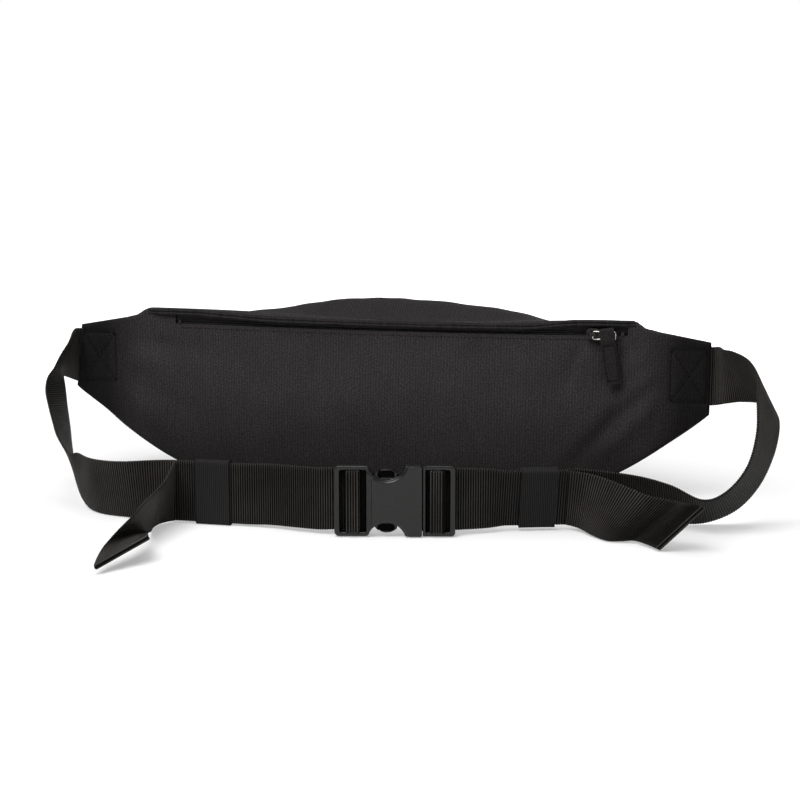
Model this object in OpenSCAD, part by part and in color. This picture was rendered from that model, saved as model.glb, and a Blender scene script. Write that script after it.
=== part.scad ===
// A waist pack: a stuffed fabric bag with two zips, flat wings, a webbing belt
// and a side-release buckle. It stands on its base with the belt looped in front
// of its back panel. +X is right as the wearer's side is seen, +Y is away from the
// wearer, +Z is up, and the origin is on the floor under the middle of the base.

/* [Bag] */
// Half the width of the bag over its wings
wing_half = 216; // [205:1:230]
// Half the width of the stuffed part
body_half = 182; // [176:1:188]
// Depth from the back panel to the front
body_depth = 88; // [76:1:100]
// Height of the back panel's top edge in the middle
body_height = 117; // [112:0.5:121]
// Height of the shoulders at the two ends of the stuffed part
shoulder_height = 120.5; // [118:0.5:124]
// How far the stuffed top bulges up behind the zip
top_rise = 13.5; // [6:0.5:16]
// Half the width of that bulge
rise_half = 118; // [100:1:122]
// Half the length of the flat bottom
flat_half = 98; // [85:1:110]
// Height of the wing's end above the floor
wing_low = 62; // [58:0.5:64]
// Top of the wing's end
wing_top = 107.5; // [106:0.5:111]
// Thickness of a wing with the belt inside it
wing_depth = 6.8; // [6.4:0.1:8]

/* [Cloth] */
// Thickness of the back panel
panel_t = 1.8; // [1.4:0.1:2.4]
// Thickness of the front and top cloth
cloth_t = 1.2; // [0.8:0.1:1.5]
// Thickness of the lining
lining_t = 0.6; // [0.4:0.1:0.8]
// Thickness of the foam behind the back panel
foam_t = 3; // [2:0.5:4]
// Empty depth of the flat back pocket
pocket_gap = 2; // [1.5:0.1:3]
// Clearance between layers of cloth
layer_gap = 0.3; // [0.2:0.05:0.4]

/* [Mouth] */
// Half the width of the lip that opens
lip_half = 122; // [105:1:126]
// Where the lip folds, in front of the back panel
lip_fold = 50; // [46:1:54]
// Distance of the main zip from the back panel
zip_back = 19; // [17:0.5:21]
// Height of the main zip above the floor
zip_height = 112; // [110:0.5:113]
// Right end of the main zip
zip_right = 150; // [146:1:151]
// Left end of the main zip, as a distance from the middle
zip_left = 150; // [140:1:151]
// Half the gap between the cloth edges over the main zip
zip_reveal = 5.4; // [5.2:0.1:6]

/* [Back pocket] */
// Right end of the pocket's zip
pocket_right = 163; // [150:1:166]
// Left end of the pocket's zip, as a distance from the middle
pocket_left = 146; // [130:1:155]
// Height of the pocket's zip
pocket_z = 111.5; // [109:0.5:112]
// Height of the slot in the back panel
slot_h = 3; // [2.8:0.1:3.6]
// Radius of the two rolled welts over the zip
welt_r = 1.2; // [1:0.1:1.3]

/* [Zips] */
// Width of one side of a zip's tape
tape_w = 8; // [7:0.5:8.5]
// Thickness of a zip's tape
tape_t = 0.7; // [0.5:0.1:0.9]
// Gap between the two coils, which the slider's neck runs in
coil_gap = 1.2; // [1:0.1:1.6]
// Thickness of a coil
coil_t = 1.4; // [1.2:0.1:1.8]
// Length of a slider
slider_l = 9; // [8:0.5:11]
// Width of a slider
slider_w = 7.2; // [6.6:0.2:8]
// Length of the pocket's fabric puller
pocket_tab_l = 36; // [28:1:42]
// Length of the main zip's fabric puller
main_tab_l = 20; // [14:1:24]
// Width of the fabric pullers
tab_w = 9.4; // [8:0.2:9.8]

/* [Belt] */
// Width of the webbing
web_w = 38; // [36:0.5:38.4]
// Thickness of the webbing
web_t = 1.6; // [1.2:0.1:1.7]
// Width of an elastic keeper along the belt
keeper_w = 22; // [18:1:24]
// Thickness of a keeper's elastic
keeper_t = 0.9; // [0.7:0.1:1.2]
// Length of webbing sewn into a wing
sewn_l = 27; // [22:1:30]

/* [Buckle] */
// Length of the closed buckle
buckle_l = 73; // [71:0.5:76]
// Width of the buckle across the webbing
buckle_w = 43.4; // [43:0.2:46]
// Thickness of the buckle's housing
buckle_t = 11; // [10.4:0.1:12.5]
// Turn of the buckle away from the bag's width
buckle_turn = 12; // [11:0.5:13]
// Play between the two halves
buckle_play = 0.3; // [0.2:0.05:0.4]

/* [Hidden] */

cloth_color = [0.07, 0.07, 0.075];
lining_color = [0.16, 0.16, 0.17];
web_color = [0.09, 0.09, 0.09];
plastic_color = [0.16, 0.16, 0.17];
metal_color = [0.72, 0.72, 0.74];
keeper_color = [0.22, 0.22, 0.23];

back_y = 4 - body_depth / 2;          // outer face of the back panel
shell_y = back_y + panel_t + 0.1;     // where the front panel meets the back panel
shoulder_x = body_half - 17;          // the shoulder's highest point
lip_y = back_y + lip_fold;            // the line that the lip folds on
zip_y = back_y + zip_back;            // middle of the main zip
mouth_end = body_half - 6;            // where the mouth's outline comes to a point
web_y = shell_y + layer_gap + web_t / 2;
base_t = 1.4;
sole = base_t + 0.1;                  // underside of the front panel
rim = 2.5;                            // flat top of the back edge
edge_slope = 9;                       // run of the slope from that rim to the zip
round_steps = 17;

function unit(v) = v / norm(v);
function mix(a, b, k) = a + (b - a) * k;
function clamp(v, lo, hi) = min(max(v, lo), hi);

// ---------- solids made from two matching grids of points ----------

// A closed solid between grid a and grid b, which lie face to face
module slab(a, b) {
    rows = len(a);
    cols = len(a[0]);
    back = rows * cols;
    points = concat([for (r = a) for (p = r) p], [for (r = b) for (p = r) p]);
    quads = concat(
        [for (i = [0 : rows - 2]) for (j = [0 : cols - 2]) let (k = i * cols + j)
            [k, k + 1, k + cols + 1, k + cols]],
        [for (i = [0 : rows - 2]) for (j = [0 : cols - 2]) let (k = back + i * cols + j)
            [k, k + cols, k + cols + 1, k + 1]],
        [for (i = [0 : rows - 2]) let (k = i * cols) [k, k + cols, k + back + cols, k + back]],
        [for (i = [0 : rows - 2]) let (k = i * cols + cols - 1)
            [k + cols, k, k + back, k + back + cols]],
        [for (j = [0 : cols - 2]) [j + 1, j, j + back, j + back + 1]],
        [for (j = [0 : cols - 2]) let (k = (rows - 1) * cols + j)
            [k, k + 1, k + back + 1, k + back]]);
    triangles = [for (q = quads) each [[q[0], q[1], q[2]], [q[0], q[2], q[3]]]];
    polyhedron(points, triangles, convexity = 8);
}

// ---------- the bag's form ----------

// Depth of the bag at a distance x from its middle
function depth_at(x) = wing_depth + (body_depth - wing_depth)
    * pow(1 - pow(min(abs(x), body_half) / body_half, 2.6), 0.75);

// Height of its lower edge
function low_at(x) = abs(x) <= flat_half ? sole
    : mix(sole, wing_low, pow((abs(x) - flat_half) / (wing_half - flat_half), 1.5));

// Height of the back panel's top edge
function top_at(x) = let (a = abs(x))
    a <= shoulder_x ? mix(body_height, shoulder_height, pow(a / shoulder_x, 2))
    : lookup(a, [[shoulder_x, shoulder_height], [shoulder_x + 4, shoulder_height - 1.5],
        [shoulder_x + 9, shoulder_height - 5], [body_half, wing_top + 6],
        [wing_half, wing_top]]);

// Height of the top cloth beside the zip, which dips behind the two shoulders
plate_z = zip_height + cloth_t + 0.5;
function plateau(x) = lookup(abs(x), [[zip_right + 4, plate_z], [zip_right + 10, plate_z - 3.4],
    [shoulder_x, plate_z - 7], [mouth_end, plate_z - 7], [body_half + 8, top_at(body_half + 8)],
    [wing_half, wing_top]]);

// How far the stuffed top bulges up between the zip and the front
function rise_at(x, y) = let (k = clamp((y - zip_y - 4) / 26, 0, 1))
    top_rise * max(0, 1 - pow(x / rise_half, 2)) * k * k * (3 - 2 * k);

// Front limit of the cloth around the mouth
function mouth_at(x) = abs(x) <= lip_half ? lip_y
    : mix(lip_y, shell_y, clamp((abs(x) - lip_half) / (mouth_end - lip_half), 0, 1));

// Height of the top cloth at y, for a skin set in by inset
function top_z(x, y, inset) = let (
    d = max(0.5, depth_at(x) - (shell_y - back_y) - inset), h = low_mid(x),
    k = clamp((y - shell_y) / d, 0, 1), up = plateau(x) + rise_at(x, y) - inset - h)
    h + up * pow(1 - pow(k, 4), 1 / 4)
    + (top_at(x) - plateau(x)) * pow(clamp(1 - (y - shell_y - rim) / edge_slope, 0, 1), 2);

function low_mid(x) = (low_at(x) + top_at(x)) / 2;

// The front panel's section at x: from the back panel under the bag, round the
// front, and up to the mouth
function section(x, inset) = let (
    d = max(0.5, depth_at(x) - (shell_y - back_y) - inset),
    k = clamp((mouth_at(x) - shell_y) / d, 0, 0.995),
    last = acos(pow(k, 1.6)), h = low_mid(x), down = h - low_at(x) - inset)
    [for (i = [0 : round_steps]) let (a = mix(-90, last, i / round_steps))
        a < 0 ? [x, shell_y + d * pow(cos(a), 0.5), h - down * pow(-sin(a), 0.5)]
        : let (y = shell_y + d * pow(cos(a), 1 / 1.6)) [x, y, top_z(x, y, inset)]];

function spread(a, b, n) = [for (i = [0 : n - 1]) mix(a, b, i / n)];
bag_xs = concat(spread(-wing_half, -body_half, 4), spread(-body_half, -mouth_end, 3),
    spread(-mouth_end, -lip_half, 8), spread(-lip_half, lip_half, 26),
    spread(lip_half, mouth_end, 8), spread(mouth_end, body_half, 3),
    spread(body_half, wing_half, 4), [wing_half]);

// Front, bottom and wings in one cloth
module front_panel() {
    color(cloth_color)
        slab([for (x = bag_xs) section(x, cloth_t)], [for (x = bag_xs) section(x, 0)]);
}

// The lining hangs inside the front panel and stops short of the wings
module inner_lining() {
    near = cloth_t + 3 * layer_gap;
    xs = [for (i = [-16 : 16]) zip_right * i / 16];
    color(lining_color)
        slab([for (x = xs) lining_section(x, near + lining_t)],
            [for (x = xs) lining_section(x, near)]);
}
function lining_section(x, inset) = let (lift = foam_back - shell_y + layer_gap)
    [for (p = section(x, inset)) [p.x, max(p.y, shell_y + lift), p.z]];

// Outline of the back panel, set in by an even amount
back_xs = [for (i = [-24 : 24]) wing_half * i / 24];
module back_outline(inset) {
    offset_end = wing_half - inset;
    xs = [for (x = back_xs) clamp(x, -offset_end, offset_end)];
    polygon(concat([for (x = xs) [x, low_at(x) + inset]],
        [for (i = [len(xs) - 1 : -1 : 0]) [xs[i], top_at(xs[i]) - inset]]));
}

// A flat plate in the back panel's plane, from y to y + t
module upright(y, t) {
    translate([0, y + t, 0]) rotate([90, 0, 0]) linear_extrude(t) children();
}

module slot_outline(margin) {
    translate([-pocket_left - margin, pocket_z - slot_h / 2 - margin])
        square([pocket_left + pocket_right + 2 * margin, slot_h + 2 * margin]);
}

// The canvas back panel, with the long slot of the back pocket's zip
module back_panel() {
    color(cloth_color) upright(back_y, panel_t) difference() {
        back_outline(0);
        slot_outline(0);
    }
}

// Two rolled welts lie over the pocket's zip, on the strip above the slot
welt_z = pocket_z + slot_h / 2 + welt_r + 0.3;
welt_y = back_y - welt_r - 0.05;
module welt(z) {
    color(cloth_color) translate([-pocket_left, welt_y, z]) rotate([0, 90, 0])
        cylinder(h = pocket_left + pocket_right, r = welt_r, $fn = 24);
}
module welt_lower() { welt(welt_z); }
module welt_upper() { welt(welt_z + 2 * welt_r + 0.1); }

// Zip tapes of the back pocket, behind the slot
pocket_tape_y = back_y + panel_t + 0.1;
module pocket_tape(side) {
    color(cloth_color)
        translate([-pocket_left + 0.5, pocket_tape_y,
            pocket_z + (side > 0 ? coil_gap / 2 : -coil_gap / 2 - pocket_tape_w(side))])
        cube([pocket_left + pocket_right - 1, tape_t, pocket_tape_w(side)]);
}
function pocket_tape_w(side) = side > 0 ? 3 : tape_w;
module pocket_tape_upper() { pocket_tape(1); }
module pocket_tape_lower() { pocket_tape(-1); }

// The two coils stand on the tapes, inside the slot
coil_w = (slot_h - coil_gap) / 2 - 0.15;
module pocket_coils() {
    color(cloth_color) for (side = [0, 1])
        translate([-pocket_left + 2, pocket_tape_y - coil_t - 0.02,
            pocket_z + (side ? coil_gap / 2 : -coil_gap / 2 - coil_w)])
        cube([pocket_left + pocket_right - 4, coil_t, coil_w]);
}

// Metal end stops, one clamped over the coils at each end
module pocket_stops() {
    color(metal_color) for (x = [-pocket_left + 2.4, pocket_right - 4.4])
        translate([x, pocket_tape_y - coil_t - 1.1, pocket_z - slot_h / 2 + 0.2])
        cube([2, 1, slot_h - 0.4]);
}

// A sheet inside the back panel's outline, no higher than top
inner_half_w = body_half - 24;
module inner_sheet(y, t, inset, top) {
    upright(y, t) intersection() {
        back_outline(inset);
        translate([-inner_half_w, 0]) square([2 * inner_half_w, top]);
    }
}

// The flat pocket's own lining, behind its zip
lining_y = pocket_tape_y + tape_t + pocket_gap;
module pocket_lining() {
    color(lining_color) inner_sheet(lining_y, lining_t, 5, pocket_z + 1);
}

// Foam that keeps the back flat
foam_y = lining_y + lining_t + 0.1;
foam_back = foam_y + foam_t;
module back_foam() {
    color("dimgray") inner_sheet(foam_y, foam_t, 7, zip_height - 5);
}

// Flat reinforcement under the bag, cut to the bottom's shape
base_xs = [for (i = [-12 : 12]) (flat_half - 6) * i / 12];
module base_panel() {
    color(cloth_color) linear_extrude(base_t)
        polygon(concat([for (x = base_xs) [x, back_y + 3]],
            [for (i = [len(base_xs) - 1 : -1 : 0]) let (x = base_xs[i])
                [x, back_y + 0.68 * depth_at(x)]]));
}

// ---------- the top and its zip ----------

// A cloth patch of the top between two limits in y
module top_patch(xs, y_from, y_to, rows) {
    color(cloth_color) slab(
        [for (i = [0 : len(xs) - 1]) [for (j = [0 : rows])
            let (y = mix(y_from[i], y_to[i], j / rows)) [xs[i], y, top_z(xs[i], y, 0)]]],
        [for (i = [0 : len(xs) - 1]) [for (j = [0 : rows])
            let (y = mix(y_from[i], y_to[i], j / rows)) [xs[i], y, top_z(xs[i], y, cloth_t)]]]);
}

seam_gap = 0.4;
strip_end = mouth_end - 2;

// Strip between the back panel and the main zip
module rear_strip() {
    xs = [for (i = [-18 : 18]) strip_end * i / 18];
    top_patch(xs, [for (x = xs) shell_y],
        [for (x = xs) min(zip_y - zip_reveal, mouth_at(x) - seam_gap)], 4);
}

// The lip that lifts when the main zip is open
module top_lip() {
    xs = [for (i = [-14 : 14]) (lip_half - seam_gap) * i / 14];
    top_patch(xs, [for (x = xs) zip_y + zip_reveal], [for (x = xs) lip_y - seam_gap], 8);
}

// The two ends of the top stay shut beside the lip
end_reach = mix(lip_half, mouth_end, (lip_y - zip_y - zip_reveal - 3) / (lip_y - shell_y));
module top_end(side) {
    xs = [for (i = [0 : 5]) let (k = mix(lip_half, end_reach, i / 5)) side * k];
    ordered = side > 0 ? xs : [for (i = [5 : -1 : 0]) xs[i]];
    top_patch(ordered, [for (x = ordered) zip_y + zip_reveal],
        [for (x = ordered) mouth_at(x) - seam_gap], 6);
}
module top_end_left() { top_end(-1); }
module top_end_right() { top_end(1); }

zip_l = zip_left + zip_right;
module main_tape(from, to, color_of, y0, w) {
    color(color_of) translate([from, y0, zip_height - tape_t])
        cube([to - from, w, tape_t]);
}
module main_tape_rear() {
    main_tape(-zip_left, zip_right, cloth_color, zip_y - coil_gap / 2 - tape_w, tape_w);
}
module main_tape_front() {
    main_tape(-lip_half + 1, lip_half - 1, cloth_color, zip_y + coil_gap / 2, tape_w);
}

main_coil_w = 2;
module main_coil_rear() {
    color(cloth_color) translate([-zip_left + 2, zip_y - coil_gap / 2 - main_coil_w,
        zip_height + 0.02]) cube([zip_l - 4, main_coil_w, coil_t]);
}
module main_coil_front() {
    color(cloth_color) translate([-lip_half + 1, zip_y + coil_gap / 2, zip_height + 0.02])
        cube([2 * lip_half - 2, main_coil_w, coil_t]);
}
module main_stops() {
    color(metal_color) for (x = [-zip_left + 2.4, zip_right - 4.4])
        translate([x, zip_y - coil_gap / 2 - main_coil_w, zip_height + coil_t + 0.1])
        cube([2, main_coil_w + coil_gap / 2, 0.6]);
}

// ---------- sliders and pullers ----------

plate_t = 1.1;
neck_w = coil_gap - 0.5;

// A slider in its own frame: it runs along X, and its top plate faces +Z
module slider(gap_above, gap_below) {
    color(metal_color) {
        translate([0, 0, gap_above]) linear_extrude(plate_t) slider_outline();
        translate([0, 0, -gap_below - plate_t]) linear_extrude(plate_t) slider_outline();
        translate([-slider_l / 4, -neck_w / 2, -gap_below - 0.01])
            cube([slider_l / 2, neck_w, gap_above + gap_below + 0.02]);
        for (side = [-1, 1])
            translate([side * slider_l / 4 - 0.7, -loop_w / 2, gap_above + plate_t - 0.01])
                cube([1.4, loop_w, loop_h]);
        translate([-slider_l / 4 - 0.7, -loop_w / 2, gap_above + plate_t + loop_h - 0.02])
            cube([slider_l / 2 + 1.4, loop_w, 0.9]);
    }
}
module slider_outline() {
    polygon([[-slider_l / 2, -slider_w / 2 + 1.4], [-slider_l / 2, slider_w / 2 - 1.4],
        [-slider_l / 2 + 2, slider_w / 2], [slider_l / 2 - 2, slider_w / 2],
        [slider_l / 2, slider_w / 2 - 1.4], [slider_l / 2, -slider_w / 2 + 1.4],
        [slider_l / 2 - 2, -slider_w / 2], [-slider_l / 2 + 2, -slider_w / 2]]);
}
loop_h = 2.4;
loop_w = 2.2;

// A ring in its own frame, bent from wire. One bar goes through the slider's loop
// along Y at the origin, and the other lies at the far end along X.
ring_r = 0.5;
ring_w = 5;
module ring(ring_l) {
    color(metal_color) {
        for (x = [0, ring_l]) translate([x, ring_w / 2 + ring_r, 0]) rotate([90, 0, 0])
            cylinder(h = ring_w + 2 * ring_r, r = ring_r, $fn = 20);
        for (side = [-1, 1]) translate([0, side * ring_w / 2, 0]) rotate([0, 90, 0])
            cylinder(h = ring_l, r = ring_r, $fn = 20);
    }
}

// A tab of cloth, folded over a ring and sewn past it. Its fold is at the origin,
// it hangs along +X, and it is open at both sides where the ring goes through.
tab_t = 2.6;
tab_space = 2 * ring_r + 0.4;
fold_t = (tab_t - tab_space) / 2;
module tab(tab_l, width, tunnel, fold_w) {
    color(cloth_color) {
        translate([0, -fold_w / 2, -tab_t / 2]) cube([fold_t + 0.01, fold_w, tab_t]);
        difference() {
            translate([fold_t, -width / 2, -tab_t / 2]) cube([tab_l - fold_t, width, tab_t]);
            translate([fold_t - 1, -width, -tab_space / 2])
                cube([tunnel + 1, 2 * width, tab_space]);
        }
    }
}

// The main zip's slider, closed at the right end
main_rest = zip_right - 10;
main_above = coil_t + 0.3;
main_loop_z = zip_height + main_above + plate_t + loop_h / 2;
module main_slider() {
    translate([main_rest, zip_y, zip_height]) slider(main_above, tape_t + 0.3);
}

// Its ring and tab lie along the zip, behind the shoulder
main_ring_l = 9;
module at_main_loop() { translate([main_rest, zip_y, main_loop_z]) children(); }
module main_ring() { at_main_loop() ring(main_ring_l); }
module main_tab() {
    at_main_loop() translate([main_ring_l - ring_r - 0.2 - fold_t, 0, 0])
        tab(main_tab_l, tab_w * 0.72, 2 * ring_r + 0.6, ring_w - 2 * ring_r - 0.6);
}

// The pocket's slider stands in front of the welts
pocket_rest = pocket_right - 22;
pocket_above = back_y - 2 * welt_r - 0.45;
module pocket_slider() {
    translate([pocket_rest, pocket_tape_y, pocket_z]) rotate([90, 0, 0])
        slider(pocket_tape_y - pocket_above, tape_t + 0.3);
}

// Its ring lies along the zip, and its tab hangs from the ring
pocket_loop_y = pocket_above - plate_t - loop_h / 2;
pocket_ring_l = 14.6;
pocket_ring_drop = 0.6;
pocket_tab_lean = 6.5;
module pocket_ring() {
    translate([pocket_rest, pocket_loop_y, pocket_z - pocket_ring_drop]) rotate([90, 0, 0])
        ring(pocket_ring_l);
}
ring_slack = 0.7;
module pocket_tab() {
    reach = ring_w + 2 * ring_r;
    translate([pocket_rest + pocket_ring_l + ring_r + 0.5 - tab_w / 2, pocket_loop_y,
        pocket_z - pocket_ring_drop + reach / 2 + ring_slack + fold_t])
        rotate([90, 90 - pocket_tab_lean, 0])
        tab(pocket_tab_l, tab_w, reach + 2 * ring_slack, tab_w);
}

// ---------- seams and stitching ----------

// Binding tape covers the seam inside each shoulder, and stops below the mouth
function binding_line(x, inset) = let (line = lining_section(x, inset))
    [for (i = [0 : len(line) - 4]) line[i]];
module binding(side) {
    x = side * (body_half - 12);
    color(lining_color) slab(
        [for (k = [-2, 2]) binding_line(x + k, cloth_t + 4 * layer_gap + 0.9)],
        [for (k = [-2, 2]) binding_line(x + k, cloth_t + 4 * layer_gap)]);
}
module binding_left() { binding(-1); }
module binding_right() { binding(1); }

// Box of stitches with a cross, through the wing and the webbing inside it
stitch_t = 0.35;
stitch_w = 0.8;
box_inset = 1.5;
web_low = (wing_low + wing_top) / 2 - web_w / 2 + 0.8;
module box_stitch(side) {
    box_l = sewn_l - 2 * box_inset;
    box_h = web_w - 2 * box_inset;
    angle = atan(box_h / box_l);
    color("black")
        translate([side * (wing_half - sewn_l / 2), back_y - stitch_t, web_low + web_w / 2])
        upright(0, stitch_t - 0.01) {
            difference() {
                square([box_l, box_h], center = true);
                square([box_l - 2 * stitch_w, box_h - 2 * stitch_w], center = true);
            }
            intersection() {
                square([box_l - stitch_w, box_h - stitch_w], center = true);
                for (turn = [-angle, angle]) rotate(turn)
                    square([2 * web_w, stitch_w], center = true);
            }
        }
}
module box_stitch_left() { box_stitch(-1); }
module box_stitch_right() { box_stitch(1); }

// ---------- the belt ----------

// A belt's route is a list of stations. Each gives a point of the lower edge, then
// the way from there to the upper edge.
function spline(a, b, c, d, k) = 0.5 * ((2 * b) + (c - a) * k
    + (2 * a - 5 * b + 4 * c - d) * k * k + (3 * b - a - 3 * c + d) * k * k * k);
function smooth(pts, n) = let (last = len(pts) - 1) concat(
    [for (i = [0 : last - 1]) for (k = [0 : n - 1])
        spline(pts[max(i - 1, 0)], pts[i], pts[i + 1], pts[min(i + 2, last)], k / n)],
    [pts[last]]);
function low_of(s) = [s[0], s[1], s[2]];
function way_of(s) = unit([s[3], s[4], s[5]]);

module ribbon(s, shift = 0) {
    last = len(s) - 1;
    middle = [for (p = s) low_of(p) + way_of(p) * web_w / 2];
    normal = [for (i = [0 : last])
        unit(cross(way_of(s[i]), middle[min(i + 1, last)] - middle[max(i - 1, 0)]))];
    function edge(i, up, side) = low_of(s[i]) + way_of(s[i]) * up * web_w
        + normal[i] * (shift + side * web_t / 2);
    color(web_color) slab(
        [for (i = [0 : last]) [edge(i, 0, -1), edge(i, 0.5, -1), edge(i, 1, -1)]],
        [for (i = [0 : last]) [edge(i, 0, 1), edge(i, 0.5, 1), edge(i, 1, 1)]]);
}
belt_steps = 3;
module belt(stations) { ribbon(smooth(stations, belt_steps)); }

// The two layers of webbing lie this far either side of a keeper's middle
layer = (web_t + layer_gap) / 2;

keep_left = [back_y - 114, 1.3];       // y and lower edge of the webbing in the left keeper
keep_left_x = -80;
straight_left = keeper_w / 2 + 12;     // straight webbing each side of its middle

belt_left_route = [
    [-(wing_half - sewn_l), web_y, web_low, 0, 0, 38],
    [-(wing_half - 2), web_y, web_low, 0, 0, 38],
    [-(wing_half + 4), web_y - 0.6, web_low + 0.5, 1, -3, 38],
    [-(wing_half + 10), back_y, web_low + 3, 11, -22, 29],
    [-(wing_half + 12), back_y - 5, web_low + 5, 12, -30, 18],
    [-(wing_half + 10), back_y - 10, web_low + 5, 10, -35, 12],
    [-(wing_half + 7), back_y - 15, web_low + 2, 5, -36, 9],
    [-(wing_half + 4), back_y - 20, web_low - 4, 3, -37, 7],
    [-wing_half, back_y - 27, web_low - 13, 4, -37, 7],
    [-(wing_half - 6), back_y - 37, web_low - 24, 5, -36, 9],
    [-(wing_half - 14), back_y - 52, 30, 6, -34, 15],
    [-(wing_half - 24), back_y - 69, 14, 9, -29, 23],
    [-(wing_half - 37), back_y - 86, 3, 4, -15, 35],
    [-(wing_half - 54), back_y - 103, 0.4, 1, -6, 37],
    [-(wing_half - 78), back_y - 112, 0.4, -1, -1, 38],
    [keep_left_x - straight_left - 10, keep_left[0] + layer + 0.1, 1, 0, 0, 38],
    [keep_left_x - straight_left, keep_left[0] + layer, keep_left[1], 0, 0, 38],
    [keep_left_x, keep_left[0] + layer, keep_left[1], 0, 0, 38],
    [keep_left_x + straight_left, keep_left[0] + layer, keep_left[1], 0, 0, 38]];
module belt_left() { belt(belt_left_route); }

// The tail leaves the keeper and lies down towards the front
belt_left_tail_route = [
    [keep_left_x + straight_left, keep_left[0] - layer, keep_left[1], 0, 0, 38],
    [keep_left_x, keep_left[0] - layer, keep_left[1], 0, 0, 38],
    [keep_left_x - straight_left, keep_left[0] - layer, keep_left[1], 0, 0, 38],
    [keep_left_x - straight_left - 3, keep_left[0] - layer - 0.9, 1.2, 2, -1, 38],
    [keep_left_x - 30, keep_left[0] - 4.5, 0.8, 7, -5, 37],
    [keep_left_x - 33, keep_left[0] - 10, 0.6, 12, -15, 33],
    [keep_left_x - 33, keep_left[0] - 20, 0.8, 12, -21, 29],
    [keep_left_x - 29, keep_left[0] - 34, 2, 8, -27, 25],
    [keep_left_x - 23, keep_left[0] - 52, 6, 2, -34, 16],
    [keep_left_x - 15, keep_left[0] - 72, 11, -12, -36, 1],
    [keep_left_x - 6, keep_left[0] - 94, 16, -20, -30, -11]];
module belt_left_tail() { belt(belt_left_tail_route); }

// Each tail ends in a hem, the webbing folded back once and sewn
module hem(route) {
    s = smooth(route, belt_steps);
    n = len(s);
    ribbon([s[n - 3], s[n - 2], s[n - 1]], shift = -web_t - 0.2);
}
module belt_left_hem() { hem(belt_left_tail_route); }

keep_right = [117, back_y - 83.5, 3.6]; // middle of the right keeper, at its lower edge
keep_right_turn = 17;
keep_right_lean = 18;
keep_right_up = [sin(keep_right_turn) * sin(keep_right_lean),
    -cos(keep_right_turn) * sin(keep_right_lean), cos(keep_right_lean)] * 38;
keep_right_out = [sin(keep_right_turn) * cos(keep_right_lean),
    -cos(keep_right_turn) * cos(keep_right_lean), -sin(keep_right_lean)];
straight_right = keeper_w / 2 + 6;
function beside_right(along, out) = concat(keep_right
    + along * [cos(keep_right_turn), sin(keep_right_turn), 0] + out * keep_right_out,
    keep_right_up);

belt_right_route = [
    [wing_half - sewn_l, web_y, web_low, 0, 0, 38],
    [wing_half - 2, web_y, web_low, 0, 0, 38],
    [wing_half + 4, web_y - 0.6, web_low + 0.5, 0, -1, 38],
    [wing_half + 12, back_y - 0.5, web_low + 2.5, -4, -11, 36],
    [wing_half + 21, back_y - 5, web_low + 4.5, -7, -15, 34],
    [wing_half + 34, back_y - 13, web_low + 5, -10, -20, 30],
    [wing_half + 42, back_y - 22, web_low, -12, -23, 27],
    [wing_half + 44, back_y - 30, web_low - 8, -14, -26, 25],
    [wing_half + 41, back_y - 38, 43, -10, -30, 21],
    [wing_half + 33, back_y - 43, 25, -7, -33, 19],
    [wing_half + 20, back_y - 45, 10, -6, -33, 18],
    [wing_half + 2, back_y - 47, 1.6, -2, -31, 21],
    [wing_half - 17, back_y - 53, 1, -2, -24, 30],
    [wing_half - 35, back_y - 61, 1.2, -1, -17, 34],
    [wing_half - 54, back_y - 69, 3, 1, -14, 35],
    beside_right(straight_right + 8, -layer - 0.2),
    beside_right(straight_right, -layer),
    beside_right(0, -layer),
    beside_right(-straight_right, -layer)];
module belt_right() { belt(belt_right_route); }

belt_right_tail_route = [
    beside_right(-straight_right, layer),
    beside_right(0, layer),
    beside_right(straight_right - 2, layer),
    beside_right(straight_right + 2, layer + 0.6),
    [144, back_y - 84, 2.4, 7, -9, 36],
    [153, back_y - 94, 1, 15, -6, 34],
    [162, back_y - 102, 0.4, 22, -4, 30],
    [170, back_y - 103, 0.8, 25, -4, 28],
    [178, back_y - 103, 1.6, 27, -5, 26],
    [186, back_y - 108, 1.2, 27, -5, 26],
    [194, back_y - 117, 0.8, 25, -6, 27]];
module belt_right_tail() { belt(belt_right_tail_route); }
module belt_right_hem() { hem(belt_right_tail_route); }

// ---------- keepers: loops of elastic round both layers ----------

keeper_play = 0.3;
keeper_in = 2 * web_t + layer_gap + 2 * keeper_play;
module keeper() {
    tall = web_w + 2 * keeper_play;
    color(keeper_color) translate([-keeper_w / 2, 0, -keeper_play - keeper_t]) difference() {
        translate([0, -keeper_in / 2 - keeper_t, 0])
            cube([keeper_w, keeper_in + 2 * keeper_t, tall + 2 * keeper_t]);
        translate([-1, -keeper_in / 2, keeper_t]) cube([keeper_w + 2, keeper_in, tall]);
    }
}
module keeper_left() {
    translate([keep_left_x, keep_left[0], keep_left[1]]) keeper();
}
module keeper_right() {
    translate(keep_right) rotate([0, 0, keep_right_turn]) rotate([keep_right_lean, 0, 0])
        keeper();
}

// ---------- the buckle ----------

// In the buckle's own frame X runs along the belt, -Y faces the wearer's side and
// Z runs across the webbing
buckle_at = [36, back_y - 117, buckle_w / 2 + 0.4];
module at_buckle() { translate(buckle_at) rotate([0, 0, buckle_turn]) children(); }
function from_buckle(x, y) = [buckle_at.x + x * cos(buckle_turn) - y * sin(buckle_turn),
    buckle_at.y + x * sin(buckle_turn) + y * cos(buckle_turn)];

end_x = buckle_l / 2;
mouth_x = 16.5;                        // open end of the female half
rail = (buckle_w - web_w - 0.8) / 2;   // side rails of the two ladders
frame_front = -4;
frame_t = 5.4;
end_bar = 3.2;
bar_w = 5;
female_window = [-end_x + end_bar, -17];
female_bar = -25.4;
male_window = [18, end_x - end_bar];
male_bar = 25.6;
housing_wall = 2.2;
side_wall = 3.3;
scoop_x = -5;
scoop_r = 9;
scoop_depth = 7.2;

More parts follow.
